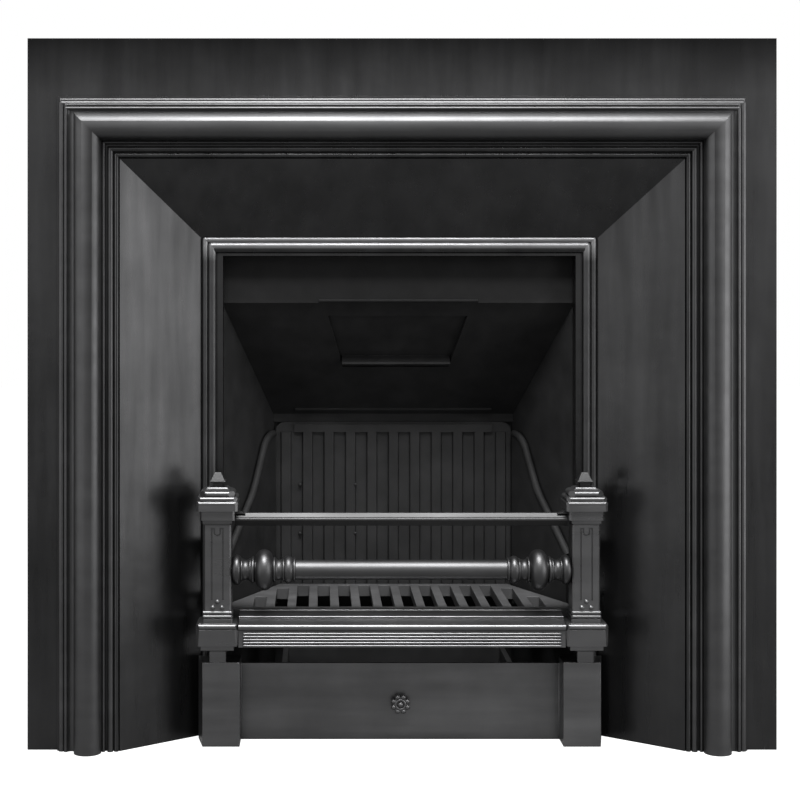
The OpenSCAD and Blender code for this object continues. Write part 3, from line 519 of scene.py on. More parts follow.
class Tree(Nodes):
    """A Geometry Nodes tree that is made into a plain mesh."""

    def __init__(self, name: str) -> None:
        """Starts a tree.

        Args:
            name: The tree's name, and that of the piece it makes.
        """
        super().__init__(bpy.data.node_groups.new(name, "GeometryNodeTree"))
        self.name = name
        for label, way in (("Start", "INPUT"), ("Made", "OUTPUT")):
            self.group.interface.new_socket(
                label, in_out=way, socket_type="NodeSocketGeometry"
            )
        self._input = self.group.nodes.new("NodeGroupInput")
        self._settings: dict[str, float | int] = {}

    @property
    def start(self) -> Socket:
        """The geometry that the tree starts from."""
        return self._input.outputs["Start"]

    def size(self, name: str, value: float | int) -> Socket:
        """Adds a named input.

        Args:
            name: The input's name.
            value: What the modifier sets it to.

        Returns:
            The input's socket inside the tree.
        """
        kind = "NodeSocketInt" if isinstance(value, int) else "NodeSocketFloat"
        socket = self.group.interface.new_socket(name, in_out="INPUT", socket_type=kind)
        self._settings[socket.identifier] = value
        return self._input.outputs[name]

    def sizes(self, owner: object, *names: str) -> list[Socket]:
        """Adds inputs for the named sizes of their owner."""
        return [self.size(n.replace("_", " ").capitalize(), getattr(owner, n)) for n in names]

    def point(self, x: Feed = 0.0, y: Feed = 0.0, z: Feed = 0.0) -> Socket:
        """Makes a vector of three values."""
        return self.add("ShaderNodeCombineXYZ", {"X": x, "Y": y, "Z": z})

    def join(self, *parts: Socket) -> Socket:
        """Puts pieces of geometry together."""
        return self.add("GeometryNodeJoinGeometry", {0: list(parts)})

    def move(self, part: Socket, by: Feed = (0, 0, 0), turn: Feed = (0, 0, 0)) -> Socket:
        """Turns a piece of geometry by Euler angles and then moves it."""
        feeds = {"Geometry": part, "Translation": by, "Rotation": turn}
        return self.add("GeometryNodeTransform", feeds)

    def repeat(self, points: Socket, part: Socket, turn: Feed = (0, 0, 0)) -> Socket:
        """Puts a copy of a part on every point, turned by Euler angles."""
        feeds = {"Points": points, "Instance": part, "Rotation": turn}
        return self.add("GeometryNodeInstanceOnPoints", feeds)

    def row(self, count: Feed, start: Feed, step: Feed) -> Socket:
        """Makes a straight row of points."""
        feeds = {"Count": count, "Start Location": start, "Offset": step}
        return self.add("GeometryNodeMeshLine", feeds, mode="OFFSET")

    def rod(self, radius: Feed, length: Feed, sides: int = 32, low: Feed = 0.0) -> Socket:
        """Makes an upright cylinder.

        Args:
            radius: Its radius.
            length: Its length.
            sides: How many sides it has.
            low: Height of its lower end.

        Returns:
            The cylinder.
        """
        feeds = {"Vertices": sides, "Radius": radius, "Depth": length}
        middle = self.sum("MULTIPLY_ADD", length, 0.5, low)
        return self.move(self.add("GeometryNodeMeshCylinder", feeds), self.point(z=middle))

    def ball(self, radius: Feed, place: Feed = (0, 0, 0), sides: int = 24) -> Socket:
        """Makes a sphere at a place."""
        feeds = {"Segments": sides, "Rings": sides // 2, "Radius": radius}
        return self.move(self.add("GeometryNodeMeshUVSphere", feeds), place)

    def prism(self, outline: Socket, length: Feed) -> Socket:
        """Fills a flat closed outline and draws it out along Z.

        Args:
            outline: A curve in the XY plane.
            length: How far it is drawn out.

        Returns:
            A closed solid.
        """
        foot = self.add("GeometryNodeFillCurve", {"Curve": outline})
        feeds = {"Mesh": foot, "Offset": (0, 0, 1), "Offset Scale": length, "Individual": False}
        drawn = self.add("GeometryNodeExtrudeMesh", feeds)
        under = self.add("GeometryNodeFlipFaces", {"Mesh": foot})
        feeds = {"Geometry": self.join(drawn, under), "Distance": WELD}
        return self.add("GeometryNodeMergeByDistance", feeds)

    def make(
        self,
        part: Socket,
        finish: IronFinish,
        body: Body,
        nodes: Sequence[str] = (),
        points: Sequence[Place] = ((0, 0, 0),),
        edges: Sequence[tuple[int, int]] = (),
        radius: float = 0.0,
    ) -> Piece:
        """Ends the tree and makes it into a plain mesh.

        Args:
            part: The geometry to end with.
            finish: Its finish.
            body: The body it rides on.
            nodes: The CAD nodes that it stands for.
            points: Points that the tree starts from.
            edges: Edges between those points.
            radius: Radius that its edges are eased with, 0 for none.

        Returns:
            The piece.
        """
        solid = self.add("GeometryNodeRealizeInstances", {"Geometry": part})
        feeds = {"Geometry": solid, "Material": dressed(finish)}
        ready = self.add("GeometryNodeSetMaterial", feeds)
        end = self.group.nodes.new("NodeGroupOutput")
        self.group.links.new(ready, end.inputs["Made"])

        base = bpy.data.meshes.new(self.name)
        base.from_pydata([tuple(p) for p in points], list(edges), [])
        thing = put(self.name, base)
        modifier = thing.modifiers.new("shape", "NODES")
        modifier.node_group = self.group
        for identifier, value in self._settings.items():
            modifier[identifier] = value
        graph = bpy.context.evaluated_depsgraph_get()
        mesh = bpy.data.meshes.new_from_object(thing.evaluated_get(graph), depsgraph=graph)
        thing.modifiers.remove(modifier)
        thing.data = mesh
        shade(mesh)
        if radius > 0:
            ease(thing, radius)
        if nodes:
            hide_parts(*nodes)
        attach(thing, body.value)
        return Piece(thing.name, len(mesh.polygons), body)


# ---- front casting


@dataclass(frozen=True)
class Bead:
    """A round bead that runs up one side, across the top and down the other.

    Attributes:
        name: What the bead is called.
        across: Distance of its upright runs from the middle.
        up: Height of its level run.
        depth: Depth of its axis.
        radius: Its radius.
    """

    name: str
    across: float
    up: float
    depth: float
    radius: float


@dataclass
class RoundBeads:
    """A set of round beads that follow one another round the front.

    Attributes:
        name: What the set is called.
        finish: Its finish.
        beads: The beads.
    """

    name: str
    finish: IronFinish
    beads: tuple[Bead, ...]

    def build(self) -> Piece:
        """Makes the beads, each of three straight runs that meet in a round corner.

        Returns:
            The set, as one piece.
        """
        tree = Tree(self.name)
        runs = []
        for bead in self.beads:
            radius = tree.size(bead.name + " radius", bead.radius)
            across = tree.size(bead.name + " across", bead.across)
            up = tree.size(bead.name + " height", bead.up)
            y = FACE_Y + bead.depth
            left = tree.times(across, -1.0)
            span = tree.times(across, 2.0)
            level = tree.move(tree.rod(radius, span, 28, left), turn=(0, math.pi / 2, 0))
            runs.append(tree.move(level, tree.point(0.0, y, up)))
            for side in (left, across):
                runs.append(tree.move(tree.rod(radius, up, 28), tree.point(side, y)))
                runs.append(tree.ball(radius, tree.point(side, y, up), 28))
        return tree.make(tree.join(*runs), self.finish, Body.FIREPLACE)


@dataclass
class FrontCasting:
    """The moulded front: margin, bolection moulding, splayed cheeks and beaded band.

    Attributes:
        edge: Radius of the casting's edges.
        lug_edge: Radius of the edges of the jamb lugs.
        bright_across: Where the burnished part, which also carries a painted highlight, begins,
            measured from the middle.
        bright_up: Where it begins, measured up from the hearth.
        bright_out: How far it stands in front of the margin's face.
        beads: The round beads at the moulding's edge and round the fire opening.
    """

    edge: float = 0.7 * MM
    lug_edge: float = 0.5 * MM
    bright_across: float = 386.5 * MM
    bright_up: float = 823.5 * MM
    bright_out: float = 1 * MM
    beads: tuple[RoundBeads, ...] = (
        RoundBeads("edge_beads", BURNISHED_PAINTED_HIGHLIGHT, (
            Bead("Edge bead", 460.8 * MM, 875.6 * MM, -5.4 * MM, 4.2 * MM),
            Bead("Quirk bead", 454.4 * MM, 868.8 * MM, -9.8 * MM, 2.4 * MM),
        )),
        RoundBeads("opening_beads", BAND_PAINTED_HIGHLIGHT, (
            Bead("Cheek bead", 272.4 * MM, 694.4 * MM, 76.0 * MM, 4.4 * MM),
            Bead("Opening bead", 262.9 * MM, 685.6 * MM, 76.6 * MM, 6.3 * MM),
        )),
    )

    def build(self) -> list[Piece]:
        """Makes the front and the lugs that hold it to the jambs.

        Returns:
            The front, its beads and the lugs.
        """
        front = cast("front_frame", BLACKED_PAINTED_TOP_SHADE, Body.FIREPLACE, self.edge)
        self._burnish_and_highlight(bpy.data.objects[front.name].data)
        lugs = cast("jamb_lugs", STEEL, Body.FIREPLACE, self.lug_edge)
        return [front, *(beads.build() for beads in self.beads), lugs]

    def _burnish_and_highlight(self, mesh: bpy.types.Mesh) -> None:
        """Gives the roll and the beads beside it a lighter skin: rubbing wear, and also a
        painted highlight.

        Args:
            mesh: The front's mesh.
        """
        mesh.materials.append(dressed(BURNISHED_PAINTED_HIGHLIGHT))
        # Painted light: the lighter skin reaches the roll and the outer beads, and stops short
        # of the beads under the top roll, which lie in shade and keep the darker blacked skin.
        for face in mesh.polygons:
            x, y, z = face.center
            beside = abs(x) > self.bright_across or z > self.bright_up
            if beside and y < FACE_Y - self.bright_out:
                face.material_index = 1


# ---- firebox


@dataclass
class Firebox:
    """The plates behind the front, the side bricks and the damper's lugs.

    Attributes:
        edge: Radius of the plates' edges.
        brick_edge: Radius of the side bricks' edges.
    """

    edge: float = 0.8 * MM
    brick_edge: float = 1.2 * MM

    def build(self) -> list[Piece]:
        """Makes the plates, bricks and lugs.

        Returns:
            The plates, the bricks and the lugs.
        """
        plates = ("hood_plate", "side_plate_left", "side_plate_right", "rear_plate")
        return [
            *(cast(node, SOOTED, Body.FIREPLACE, self.edge) for node in plates),
            cast("side_brick_left", SOOTED, Body.FIREPLACE, self.brick_edge),
            cast("side_brick_right", SOOTED, Body.FIREPLACE, self.brick_edge),
            cast("damper_lugs", SOOTED, Body.FIREPLACE, self.edge),
        ]


@dataclass
class Fireback:
    """The ribbed fireback: a plate with round top corners, a plain band and a row of ribs.

    Attributes:
        width: Width of the plate.
        foot: Height of its lower edge.
        top: Height of its upper edge.
        corner: Radius of its top corners.
        face: Depth of the ribs' faces.
        ground: Depth of the plate between the ribs.
        back: Depth of its back.
        band: Height of the plain band above the ribs.
        band_lip: Height of the plate above that band.
        ribs: Number of ribs.
        pitch: Their spacing.
        rib: Width of a rib at its foot.
        taper: How much narrower a rib's face is, on each side.
        round: Radius of a rib's shoulders.
        pips: Places of the studs that the fireback is held by, as (across, up).
        pip: Radius of a stud.
        pip_proud: How far a stud stands out of the ribs.
        sunk: How far the ribs reach into the plate.
        edge: Radius of the edges.
    """

    width: float = 356 * MM
    foot: float = 164.3 * MM
    top: float = 425 * MM
    corner: float = 14 * MM
    face: float = 255 * MM
    ground: float = 260 * MM
    back: float = 268 * MM
    band: float = 12 * MM
    band_lip: float = 3 * MM
    ribs: int = 11
    pitch: float = 32.5 * MM
    rib: float = 18 * MM
    taper: float = 2 * MM
    round: float = 1.6 * MM
    pips: tuple[tuple[float, float], ...] = (
        (-0.1414, 0.331), (-0.0577, 0.331), (-0.1414, 0.257), (-0.0577, 0.257),
    )
    pip: float = 2.3 * MM
    pip_proud: float = 1.2 * MM
    sunk: float = 2 * MM
    edge: float = 0.5 * MM

    def outline(self) -> list[Place]:
        """Works out the plate's outline.

        Returns:
            Points of (across, up) in the XY plane, from the lower left corner.
        """
        half = self.width / 2
        middle = half - self.corner
        right = [
            (
                middle + self.corner * math.cos(math.radians(a)),
                self.top - self.corner + self.corner * math.sin(math.radians(a)),
            )
            for a in range(0, 91, 9)
        ]
        left = [(-x, z) for x, z in reversed(right)]
        ring = [(-half, self.foot), (half, self.foot), *right, *left]
        return [(x, z, 0.0) for x, z in ring]

    def build(self) -> list[Piece]:
        """Makes the fireback.

        Returns:
            The fireback alone.
        """
        tree = Tree("ribbed_fireback")
        count, pitch, rib, taper, turn, pip = tree.sizes(
            self, "ribs", "pitch", "rib", "taper", "round", "pip"
        )
        thick = tree.size("Plate thickness", self.back - self.ground)
        relief = tree.size("Rib relief", self.ground - self.face)

        upright = (math.pi / 2, 0, 0)
        ring = tree.add("GeometryNodeMeshToCurve", {"Mesh": tree.start})
        plate = tree.move(tree.prism(ring, thick), (0, FACE_Y + self.back, 0), upright)

        deep = tree.sum("ADD", relief, self.sunk)
        rib_top = self.top - self.band - self.band_lip
        feeds = {
            "Bottom Width": tree.sum("MULTIPLY_ADD", taper, -2.0, rib),
            "Top Width": rib,
            "Offset": 0.0,
            "Height": deep,
        }
        section = tree.add("GeometryNodeCurvePrimitiveQuadrilateral", feeds, mode="TRAPEZOID")
        feeds = {"Curve": section, "Radius": turn, "Count": 4, "Limit Radius": True}
        eased = tree.add("GeometryNodeFilletCurve", feeds, mode="POLY")
        bar = tree.prism(eased, rib_top - self.foot)
        first = tree.times(tree.sum("MULTIPLY_ADD", count, 0.5, -0.5), pitch)
        depth = tree.sum("MULTIPLY_ADD", deep, 0.5, FACE_Y + self.face)
        start = tree.point(tree.times(first, -1.0), depth, self.foot)
        ribs = tree.repeat(tree.row(count, start, tree.point(pitch)), bar)

        feeds = {"Size": tree.point(self.width - 4 * self.corner, deep, self.band)}
        slab = tree.add("GeometryNodeMeshCube", feeds)
        band = tree.move(slab, tree.point(0.0, depth, rib_top + self.band / 2))

        stem = tree.rod(pip, self.ground - self.face + self.pip_proud / 2, 20)
        feeds = {"Geometry": tree.ball(pip, sides=20), "Scale": (1, 1, 0.5)}
        crown = tree.add("GeometryNodeTransform", feeds)
        crown = tree.move(crown, (0, 0, self.ground - self.face + self.pip_proud / 2))
        stud = tree.join(stem, crown)
        places = [
            tree.move(stud, (x, FACE_Y + self.ground, z), upright) for x, z in self.pips
        ]
        whole = tree.join(plate, ribs, band, *places)
        ring_points = self.outline()
        ring_edges = [(i, (i + 1) % len(ring_points)) for i in range(len(ring_points))]
        return [
            tree.make(
                whole, SCALED, Body.FIREPLACE, ["fireback"], ring_points, ring_edges,
                radius=self.edge,
            )
        ]


@dataclass
class Damper:
    """The damper flap on its hinge pin.

    Attributes:
        edge: Radius of the flap's edges.
    """

    edge: float = 0.8 * MM

    def build(self) -> list[Piece]:
        """Makes the flap and its pin.

        Returns:
            The flap and the pin.
        """
        return [
            cast("damper_flap", SOOTED, Body.DAMPER, self.edge),
            paint("damper_pin", STEEL, Body.FIREPLACE),
        ]


# ---- fixings


@dataclass
class HexBolts:
    """A set of like hexagon bolts whose heads face back.

    Attributes:
        name: The set's name.
        bolts: The CAD node of the bolts.
        nuts: The CAD node of their nuts, or "" where they screw into the casting.
        across: Radius of the head's corners.
        head: Height of the head.
        shank: Radius of the shank.
        washer: Thickness of the washer under the head.
        grip: Distance from under the head to the nut.
        nut: Height of the nut.
        seed: Picks how far round each bolt was turned when it was tight.
        washer_size: Radius of the washer, in corner radii.
        inner: Radius of the circle inside the hexagon, in corner radii.
        flat: Radius of the head's flat top, in corner radii.
        upright: How much of the head's height the six sides take.
        chamfer: How much of it the chamfer takes.
    """

    name: str
    bolts: str
    nuts: str
    across: float
    head: float
    shank: float
    washer: float = 1.2 * MM
    grip: float = 12 * MM
    nut: float = 6.5 * MM
    seed: int = 7
    washer_size: float = 1.12
    inner: float = 0.86
    flat: float = 0.72
    upright: float = 0.86
    chamfer: float = 0.2

    def build(self) -> Piece:
        """Makes the set.

        Returns:
            The bolts with their nuts, as one piece.
        """
        tree = Tree(self.name)
        across, head, shank, washer, seed = tree.sizes(
            self, "across", "head", "shank", "washer", "seed"
        )
        length = tree.size("Shank length", self._length())

        low = tree.times(length, -1.0)
        stem = tree.rod(shank, tree.sum("ADD", length, self.head / 2), 24, low)
        plate = tree.rod(tree.times(across, self.washer_size), washer, 32)
        hexagon = self._hexagon(tree, across, tree.sum("SUBTRACT", head, washer))
        parts = [stem, plate, tree.move(hexagon, tree.point(z=washer))]
        if self.nuts:
            grip, nut = tree.sizes(self, "grip", "nut")
            under = self._hexagon(tree, across, nut)
            place = tree.point(z=tree.times(grip, -1.0))
            parts.append(tree.move(under, place, (math.pi, 0, 0)))
        feeds = {2: 0.0, 3: math.pi / 3, "Seed": seed}
        spin = tree.add("FunctionNodeRandomValue", feeds, 1, data_type="FLOAT")
        turn = tree.point(-math.pi / 2, spin, 0.0)
        whole = tree.repeat(tree.start, tree.join(*parts), turn)
        nodes = [node for node in (self.bolts, self.nuts) if node]
        return tree.make(whole, STEEL, Body.FIREPLACE, nodes, self._seats())

    def _hexagon(self, tree: Tree, across: Socket, height: Socket) -> Socket:
        """Makes a hexagon with a chamfered top.

        Args:
            tree: The tree it goes in.
            across: Radius of its corners.
            height: Its height.

        Returns:
            The hexagon, standing on the XY plane.
        """
        body = tree.rod(across, tree.times(height, self.upright), 6)
        feeds = {
            "Vertices": 24,
            "Radius Top": tree.times(across, self.flat),
            "Radius Bottom": tree.times(across, self.inner),
            "Depth": tree.times(height, self.chamfer),
        }
        cone = tree.add("GeometryNodeMeshCone", feeds)
        foot = tree.times(height, 1 - self.chamfer)
        crown = tree.move(cone, tree.point(z=foot))
        return tree.join(body, crown)

    def _length(self) -> float:
        """Reads the shank's length off the CAD bolts."""
        low, high = solids(self.bolts)[0]
        return high.y - low.y - self.head

    def _seats(self) -> list[Place]:
        """Reads where the CAD bolts' heads sit.

        Returns:
            The point under each head.
        """
        return [
            ((low.x + high.x) / 2, high.y - self.head, (low.z + high.z) / 2)
            for low, high in solids(self.bolts)
        ]


@dataclass
class Fixings:
    """The bolts that hold the firebox together and the screws of the jamb lugs."""

    sets: tuple[HexBolts, ...] = (
        HexBolts("front_bolt_set", "front_bolts", "front_nuts", 7.36 * MM, 5.5 * MM, 4 * MM),
        HexBolts("rear_bolt_set", "rear_bolts", "rear_nuts", 7.36 * MM, 5.5 * MM, 4 * MM),
        HexBolts("lug_screw_set", "lug_screws", "", 5.51 * MM, 4 * MM, 2.9 * MM, 0.8 * MM),
    )

    def build(self) -> list[Piece]:
        """Makes every set."""
        return [bolts.build() for bolts in self.sets]


# ---- fire front and grate


@dataclass
class Grate:
    """The slotted bottom grate.

    Attributes:
        edge: Radius of the bars' worn edges.
    """

    edge: float = 1.1 * MM

    def build(self) -> list[Piece]:
        """Makes the grate."""
        return [cast("grate", BURNT, Body.GRATE, self.edge)]


class Turned(Enum):
    """The shapes that a turned bar is made up of."""

    COLLAR = "a plain cylinder"
    ROLL = "a round ring"
    HOLLOW = "a hollow neck"


@dataclass(frozen=True)
class Turning:
    """One shape on the turned bar.

    Attributes:
        kind: What it is.
        at: Distance of its middle from the bar's end, inwards.
        half: Half its length, or a ring's radius.
        rise: How far its radius, or its ring's centre, is above the bar's radius.
    """

    kind: Turned
    at: float
    half: float
    rise: float


@dataclass
class TurnedBar:
    """The middle rail of the fire front, turned with rings, necks and a big ball at each end.

    Attributes:
        end: Distance from the bar's middle to where its ends meet the columns.
        plain: Radius of the plain run.
        pin: Radius of the pin that enters the column.
        pin_length: Length of that pin.
        ball: Radius of the big ball.
        ball_roll: Radius of the ball's round edge.
        ball_at: Distance of the ball's middle from the bar's end, inwards.
        plain_from: Distance from the bar's end to the plain run.
        hollow: Radius of a hollow neck.
        waist: How far the neck's waist is above the bar's radius.
        steps: How many steps the bar is drawn in.
        sides: How many sides it is drawn with.
        turnings: The rings, collars and necks.
    """

    end: float = 232.05 * MM
    plain: float = 13.5 * MM
    pin: float = 5 * MM
    pin_length: float = 13 * MM
    ball: float = 28 * MM
    ball_roll: float = 11.8 * MM
    ball_at: float = 44.3 * MM
    plain_from: float = 80 * MM
    hollow: float = 7.4 * MM
    waist: float = 0.3 * MM
    steps: int = 1100
    sides: int = 44
    turnings: tuple[Turning, ...] = (
        Turning(Turned.ROLL, 85.6 * MM, 1.9 * MM, 1.2 * MM),
        Turning(Turned.COLLAR, 84.0 * MM, 3.0 * MM, 1.2 * MM),
        Turning(Turned.ROLL, 77.5 * MM, 7.4 * MM, -2.0 * MM),
        Turning(Turned.COLLAR, 77.5 * MM, 6.5 * MM, -2.0 * MM),
        Turning(Turned.HOLLOW, 65.0 * MM, 8.0 * MM, 2.4 * MM),
        Turning(Turned.ROLL, 58.2 * MM, 1.9 * MM, 2.2 * MM),
        Turning(Turned.COLLAR, 45.0 * MM, 12.0 * MM, 2.7 * MM),
        Turning(Turned.COLLAR, 30.0 * MM, 4.0 * MM, 1.5 * MM),
        Turning(Turned.ROLL, 28.9 * MM, 2.8 * MM, 2.0 * MM),
        Turning(Turned.HOLLOW, 19.5 * MM, 7.5 * MM, 2.6 * MM),
        Turning(Turned.ROLL, 6.8 * MM, 6.4 * MM, 0.9 * MM),
        Turning(Turned.COLLAR, 6.7 * MM, 5.9 * MM, 0.9 * MM),
    )

    def build(self) -> Piece:
        """Makes the bar.

        Returns:
            The bar.
        """
        tree = Tree("turned_bar_lathe")
        plain, end, pin, ball, roll, steps, sides = tree.sizes(
            self, "plain", "end", "pin", "ball", "ball_roll", "steps", "sides"
        )

        feeds = {
            "Vertices": sides,
            "Side Segments": steps,
            "Radius": 1.0,
            "Depth": tree.sum("MULTIPLY_ADD", end, 2.0, 2 * self.pin_length),
        }
        blank = tree.move(tree.add("GeometryNodeMeshCylinder", feeds), turn=(0, math.pi / 2, 0))
        where = tree.add("GeometryNodeInputPosition", {})
        cross = {"Vector": where}
        x, y, z = (tree.add("ShaderNodeSeparateXYZ", cross, axis) for axis in "XYZ")
        inward = tree.sum("SUBTRACT", end, tree.sum("ABSOLUTE", x))

        run = tree.sum("GREATER_THAN", inward, self.plain_from)
        radius = tree.times(plain, run)
        radius = tree.sum("MAXIMUM", radius, pin)
        for turning in self.turnings:
            shape = self._shape(tree, turning, plain, inward)
            radius = tree.sum("MAXIMUM", radius, shape)
        centre = tree.sum("SUBTRACT", ball, roll)
        belly = self._ring(tree, inward, self.ball_at, roll, centre)
        radius = tree.sum("MAXIMUM", radius, belly)

        feeds = {
            "Geometry": blank,
            "Position": tree.point(
                x, tree.times(y, radius), tree.times(z, radius)
            ),
        }
        turned = tree.add("GeometryNodeSetPosition", feeds)
        low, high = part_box("turned_bar")
        middle = tuple((a + b) / 2 for a, b in zip(low, high))
        return tree.make(tree.move(turned, middle), BURNISHED_PAINTED_HIGHLIGHT, Body.FIRE_FRONT, ["turned_bar"])

    def _shape(self, tree: Tree, turning: Turning, plain: Socket, inward: Socket) -> Socket:
        """Works out one turning's radius along the bar.

        Args:
            tree: The tree it goes in.
            turning: The turning.
            plain: The plain run's radius.
            inward: Distance in from the bar's end.

        Returns:
            Its radius, 0 where the turning isn't.
        """
        rise = tree.sum("ADD", plain, turning.rise)
        here = tree.sum("COMPARE", inward, turning.at, turning.half)
        if turning.kind is Turned.COLLAR:
            return tree.times(rise, here)
        if turning.kind is Turned.ROLL:
            return self._ring(tree, inward, turning.at, turning.half, rise)
        bowl = self._ring(tree, inward, turning.at, self.hollow, 0.0)
        neck = tree.sum("SUBTRACT", tree.sum("ADD", plain, self.waist + self.hollow), bowl)
        return tree.times(tree.sum("MINIMUM", neck, rise), here)

    @staticmethod
    def _ring(tree: Tree, inward: Socket, at: Feed, half: Feed, centre: Feed) -> Socket:
        """Works out a round ring's radius along the bar.

        Args:
            tree: The tree it goes in.
            inward: Distance in from the bar's end.
            at: Where the ring's middle is.
            half: The ring's own radius.
            centre: Radius that the ring's centre is on.

        Returns:
            Its radius, 0 where the ring isn't.
        """
        off = tree.sum("SUBTRACT", inward, at)
        off = tree.times(off, off)
        room = tree.sum("SUBTRACT", tree.sum("POWER", half, 2.0), off)
        height = tree.sum("SQRT", tree.sum("MAXIMUM", room, 0.0))
        here = tree.sum("GREATER_THAN", room, 0.0)
        return tree.times(tree.sum("ADD", centre, height), here)


@dataclass
class Reeds:
    """The reeds along the base rail's fascia, with round ends.

    Attributes:
        count: Number of reeds.
        pitch: Their spacing.
        radius: Radius of a reed.
        half: Half the length of a reed, without its round ends.
        low: Height of the lowest reed's axis.
        depth: Depth of the axes.
    """

    count: int = 5
    pitch: float = 4.1 * MM
    radius: float = 2.0 * MM
    half: float = 214 * MM
    low: float = 140.7 * MM
    depth: float = -0.4 * MM

    def build(self) -> Piece:
        """Makes the reeds.

        Returns:
            The reeds, as one piece.
        """
        tree = Tree("base_rail_reeds")
        count, pitch, radius, half = tree.sizes(self, "count", "pitch", "radius", "half")
        low = tree.times(half, -1.0)
        rod = tree.rod(radius, tree.times(half, 2.0), 24, low)
        level = tree.move(rod, turn=(0, math.pi / 2, 0))
        ends = [
            tree.ball(radius, tree.point(tree.times(half, side)), 24)
            for side in (-1.0, 1.0)
        ]
        start = (0, FACE_Y + self.depth, self.low)
        row = tree.row(count, start, tree.point(z=pitch))
        whole = tree.repeat(row, tree.join(level, *ends))
        return tree.make(whole, RUBBED, Body.FIRE_FRONT)


@dataclass
class FireFront:
    """The lift-off front: columns, caps, finials, rails, turned bar and hanging hooks.

    Attributes:
        edge: Radius of the castings' edges.
        fine_edge: Radius of the edges of the small turned and moulded pieces.
        bar: The turned bar.
        reeds: The base rail's reeds.
    """

    edge: float = 0.7 * MM
    fine_edge: float = 0.35 * MM
    bar: TurnedBar = field(default_factory=TurnedBar)
    reeds: Reeds = field(default_factory=Reeds)

    def build(self) -> list[Piece]:
        """Makes the pieces of the front.

        Returns:
            The columns, caps, finials, rails, hooks, bar and reeds.
        """
        body = Body.FIRE_FRONT
        bold = ("column_left", "column_right", "base_rail")
        fine = ("cap_left", "cap_right")
        return [
            *(cast(node, RUBBED, body, self.edge) for node in bold),
            *(cast(node, RUBBED, body, self.fine_edge) for node in fine),
            cast("finial_left", WORN, body, self.fine_edge),
            cast("finial_right", WORN, body, self.fine_edge),
            cast("top_rail", WORN, body, self.edge),
            cast("hanging_hooks", BLACKED_PAINTED_TOP_SHADE, body, self.edge),
            self.bar.build(),
            self.reeds.build(),
        ]


# ---- ashpan cover and pan


@dataclass
class Rosette:
    """The cover's knob: eight petals round a beaded boss, on a stem.

    Attributes:
        radius: Radius of the whole rosette.
        petals: Number of petals.
        petal: Radius of a petal.
        disc: Thickness of the disc behind the petals.
        petal_out: How far the petals' centres stand in front of the disc's back.
        bead_ring: Radius of the bead's ring.
        bead: Radius of the bead.
        boss: Radius of the boss in the middle.
        boss_out: How far the boss's centre stands in front of the disc's back.
        spacer: Radius of the spacer behind the disc.
        spacer_length: Length of the spacer.
        stem: Radius of the threaded stem.
        stem_length: Length of the stem behind the disc.
        lap: How far the spacer and the stem reach into the disc.
        inset: How far the disc stays inside the rosette's edge, in petal radii.
    """

    radius: float = 14 * MM
    petals: int = 8
    petal: float = 3.78 * MM
    disc: float = 5 * MM
    petal_out: float = 2.6 * MM
    bead_ring: float = 6.44 * MM
    bead: float = 1.7 * MM
    boss: float = 4.2 * MM
    boss_out: float = 4.4 * MM
    spacer: float = 4.5 * MM
    spacer_length: float = 7 * MM
    stem: float = 3 * MM
    stem_length: float = 19 * MM
    lap: float = 1 * MM
    inset: float = 1.1

    def build(self) -> Piece:
        """Makes the knob, drawn along Z and then turned to face the front.

        Returns:
            The knob with its stem.
        """
        tree = Tree("rosette_knob")
        radius, petals, petal, bead, bead_ring = tree.sizes(
            self, "radius", "petals", "petal", "bead", "bead_ring"
        )

        disc_radius = tree.sum("MULTIPLY_ADD", petal, -self.inset, radius)
        disc = tree.rod(disc_radius, self.disc, 48)
        feeds = {"Vertices": petals, "Radius": tree.sum("SUBTRACT", radius, petal)}
        ring = tree.add("GeometryNodeMeshCircle", feeds)
        ring = tree.move(ring, (0, 0, self.petal_out), (0, 0, math.pi / self.petals))
        crown = tree.repeat(ring, tree.ball(petal, sides=28))
        path, wire = (
            tree.add("GeometryNodeCurvePrimitiveCircle", {"Resolution": steps, "Radius": size})
            for steps, size in ((48, bead_ring), (16, bead))
        )
        loop = tree.add("GeometryNodeCurveToMesh", {"Curve": path, "Profile Curve": wire})
        loop = tree.move(loop, (0, 0, self.disc))
        boss = tree.ball(self.boss, (0, 0, self.boss_out), 32)
        spacer = tree.rod(self.spacer, self.spacer_length + self.lap, 32, -self.spacer_length)
        stem = tree.rod(self.stem, self.stem_length + self.lap, 24, -self.stem_length)
        knob = tree.join(disc, crown, loop, boss, spacer, stem)

        low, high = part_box("cover_knob")
        place = ((low[0] + high[0]) / 2, high[1] - self.stem_length, (low[2] + high[2]) / 2)
        faced = tree.move(knob, place, (math.pi / 2, 0, 0))
        return tree.make(faced, RUBBED, Body.ASHPAN_COVER, ["cover_knob"])


@dataclass
class AshpanCover:
    """The cover in front of the ash pan, with its plinths and its knob.

    Attributes:
        edge: Radius of the cover's edges.
        clear: How far the cover's foot stays off the hearth.
        knob: The knob.
    """

    edge: float = 0.8 * MM
    clear: float = 0.06 * MM
    knob: Rosette = field(default_factory=Rosette)

    def build(self) -> list[Piece]:
        """Makes the cover, the knob and its nut.

        Returns:
            The cover, the knob and the nut.
        """
        cover = cast("ashpan_cover", COVER, Body.ASHPAN_COVER, self.edge)
        for corner in bpy.data.objects[cover.name].data.vertices:
            corner.co.z = max(corner.co.z, self.clear)
        return [
            cover,
            self.knob.build(),
            paint("knob_nut", STEEL, Body.ASHPAN_COVER),
        ]


@dataclass
class AshPan:
    """The sheet ash pan and its wire handle.

    Attributes:
        edge: Radius of the sheet's folded edges.
    """

    edge: float = 0.4 * MM

    def build(self) -> list[Piece]:
        """Makes the pan and its handle.

        Returns:
            The pan and the handle.
        """
        return [
            cast("ash_pan", SHEET, Body.ASH_PAN, self.edge),
            paint("pan_handle", STEEL, Body.ASH_PAN),
        ]


# ---- studio


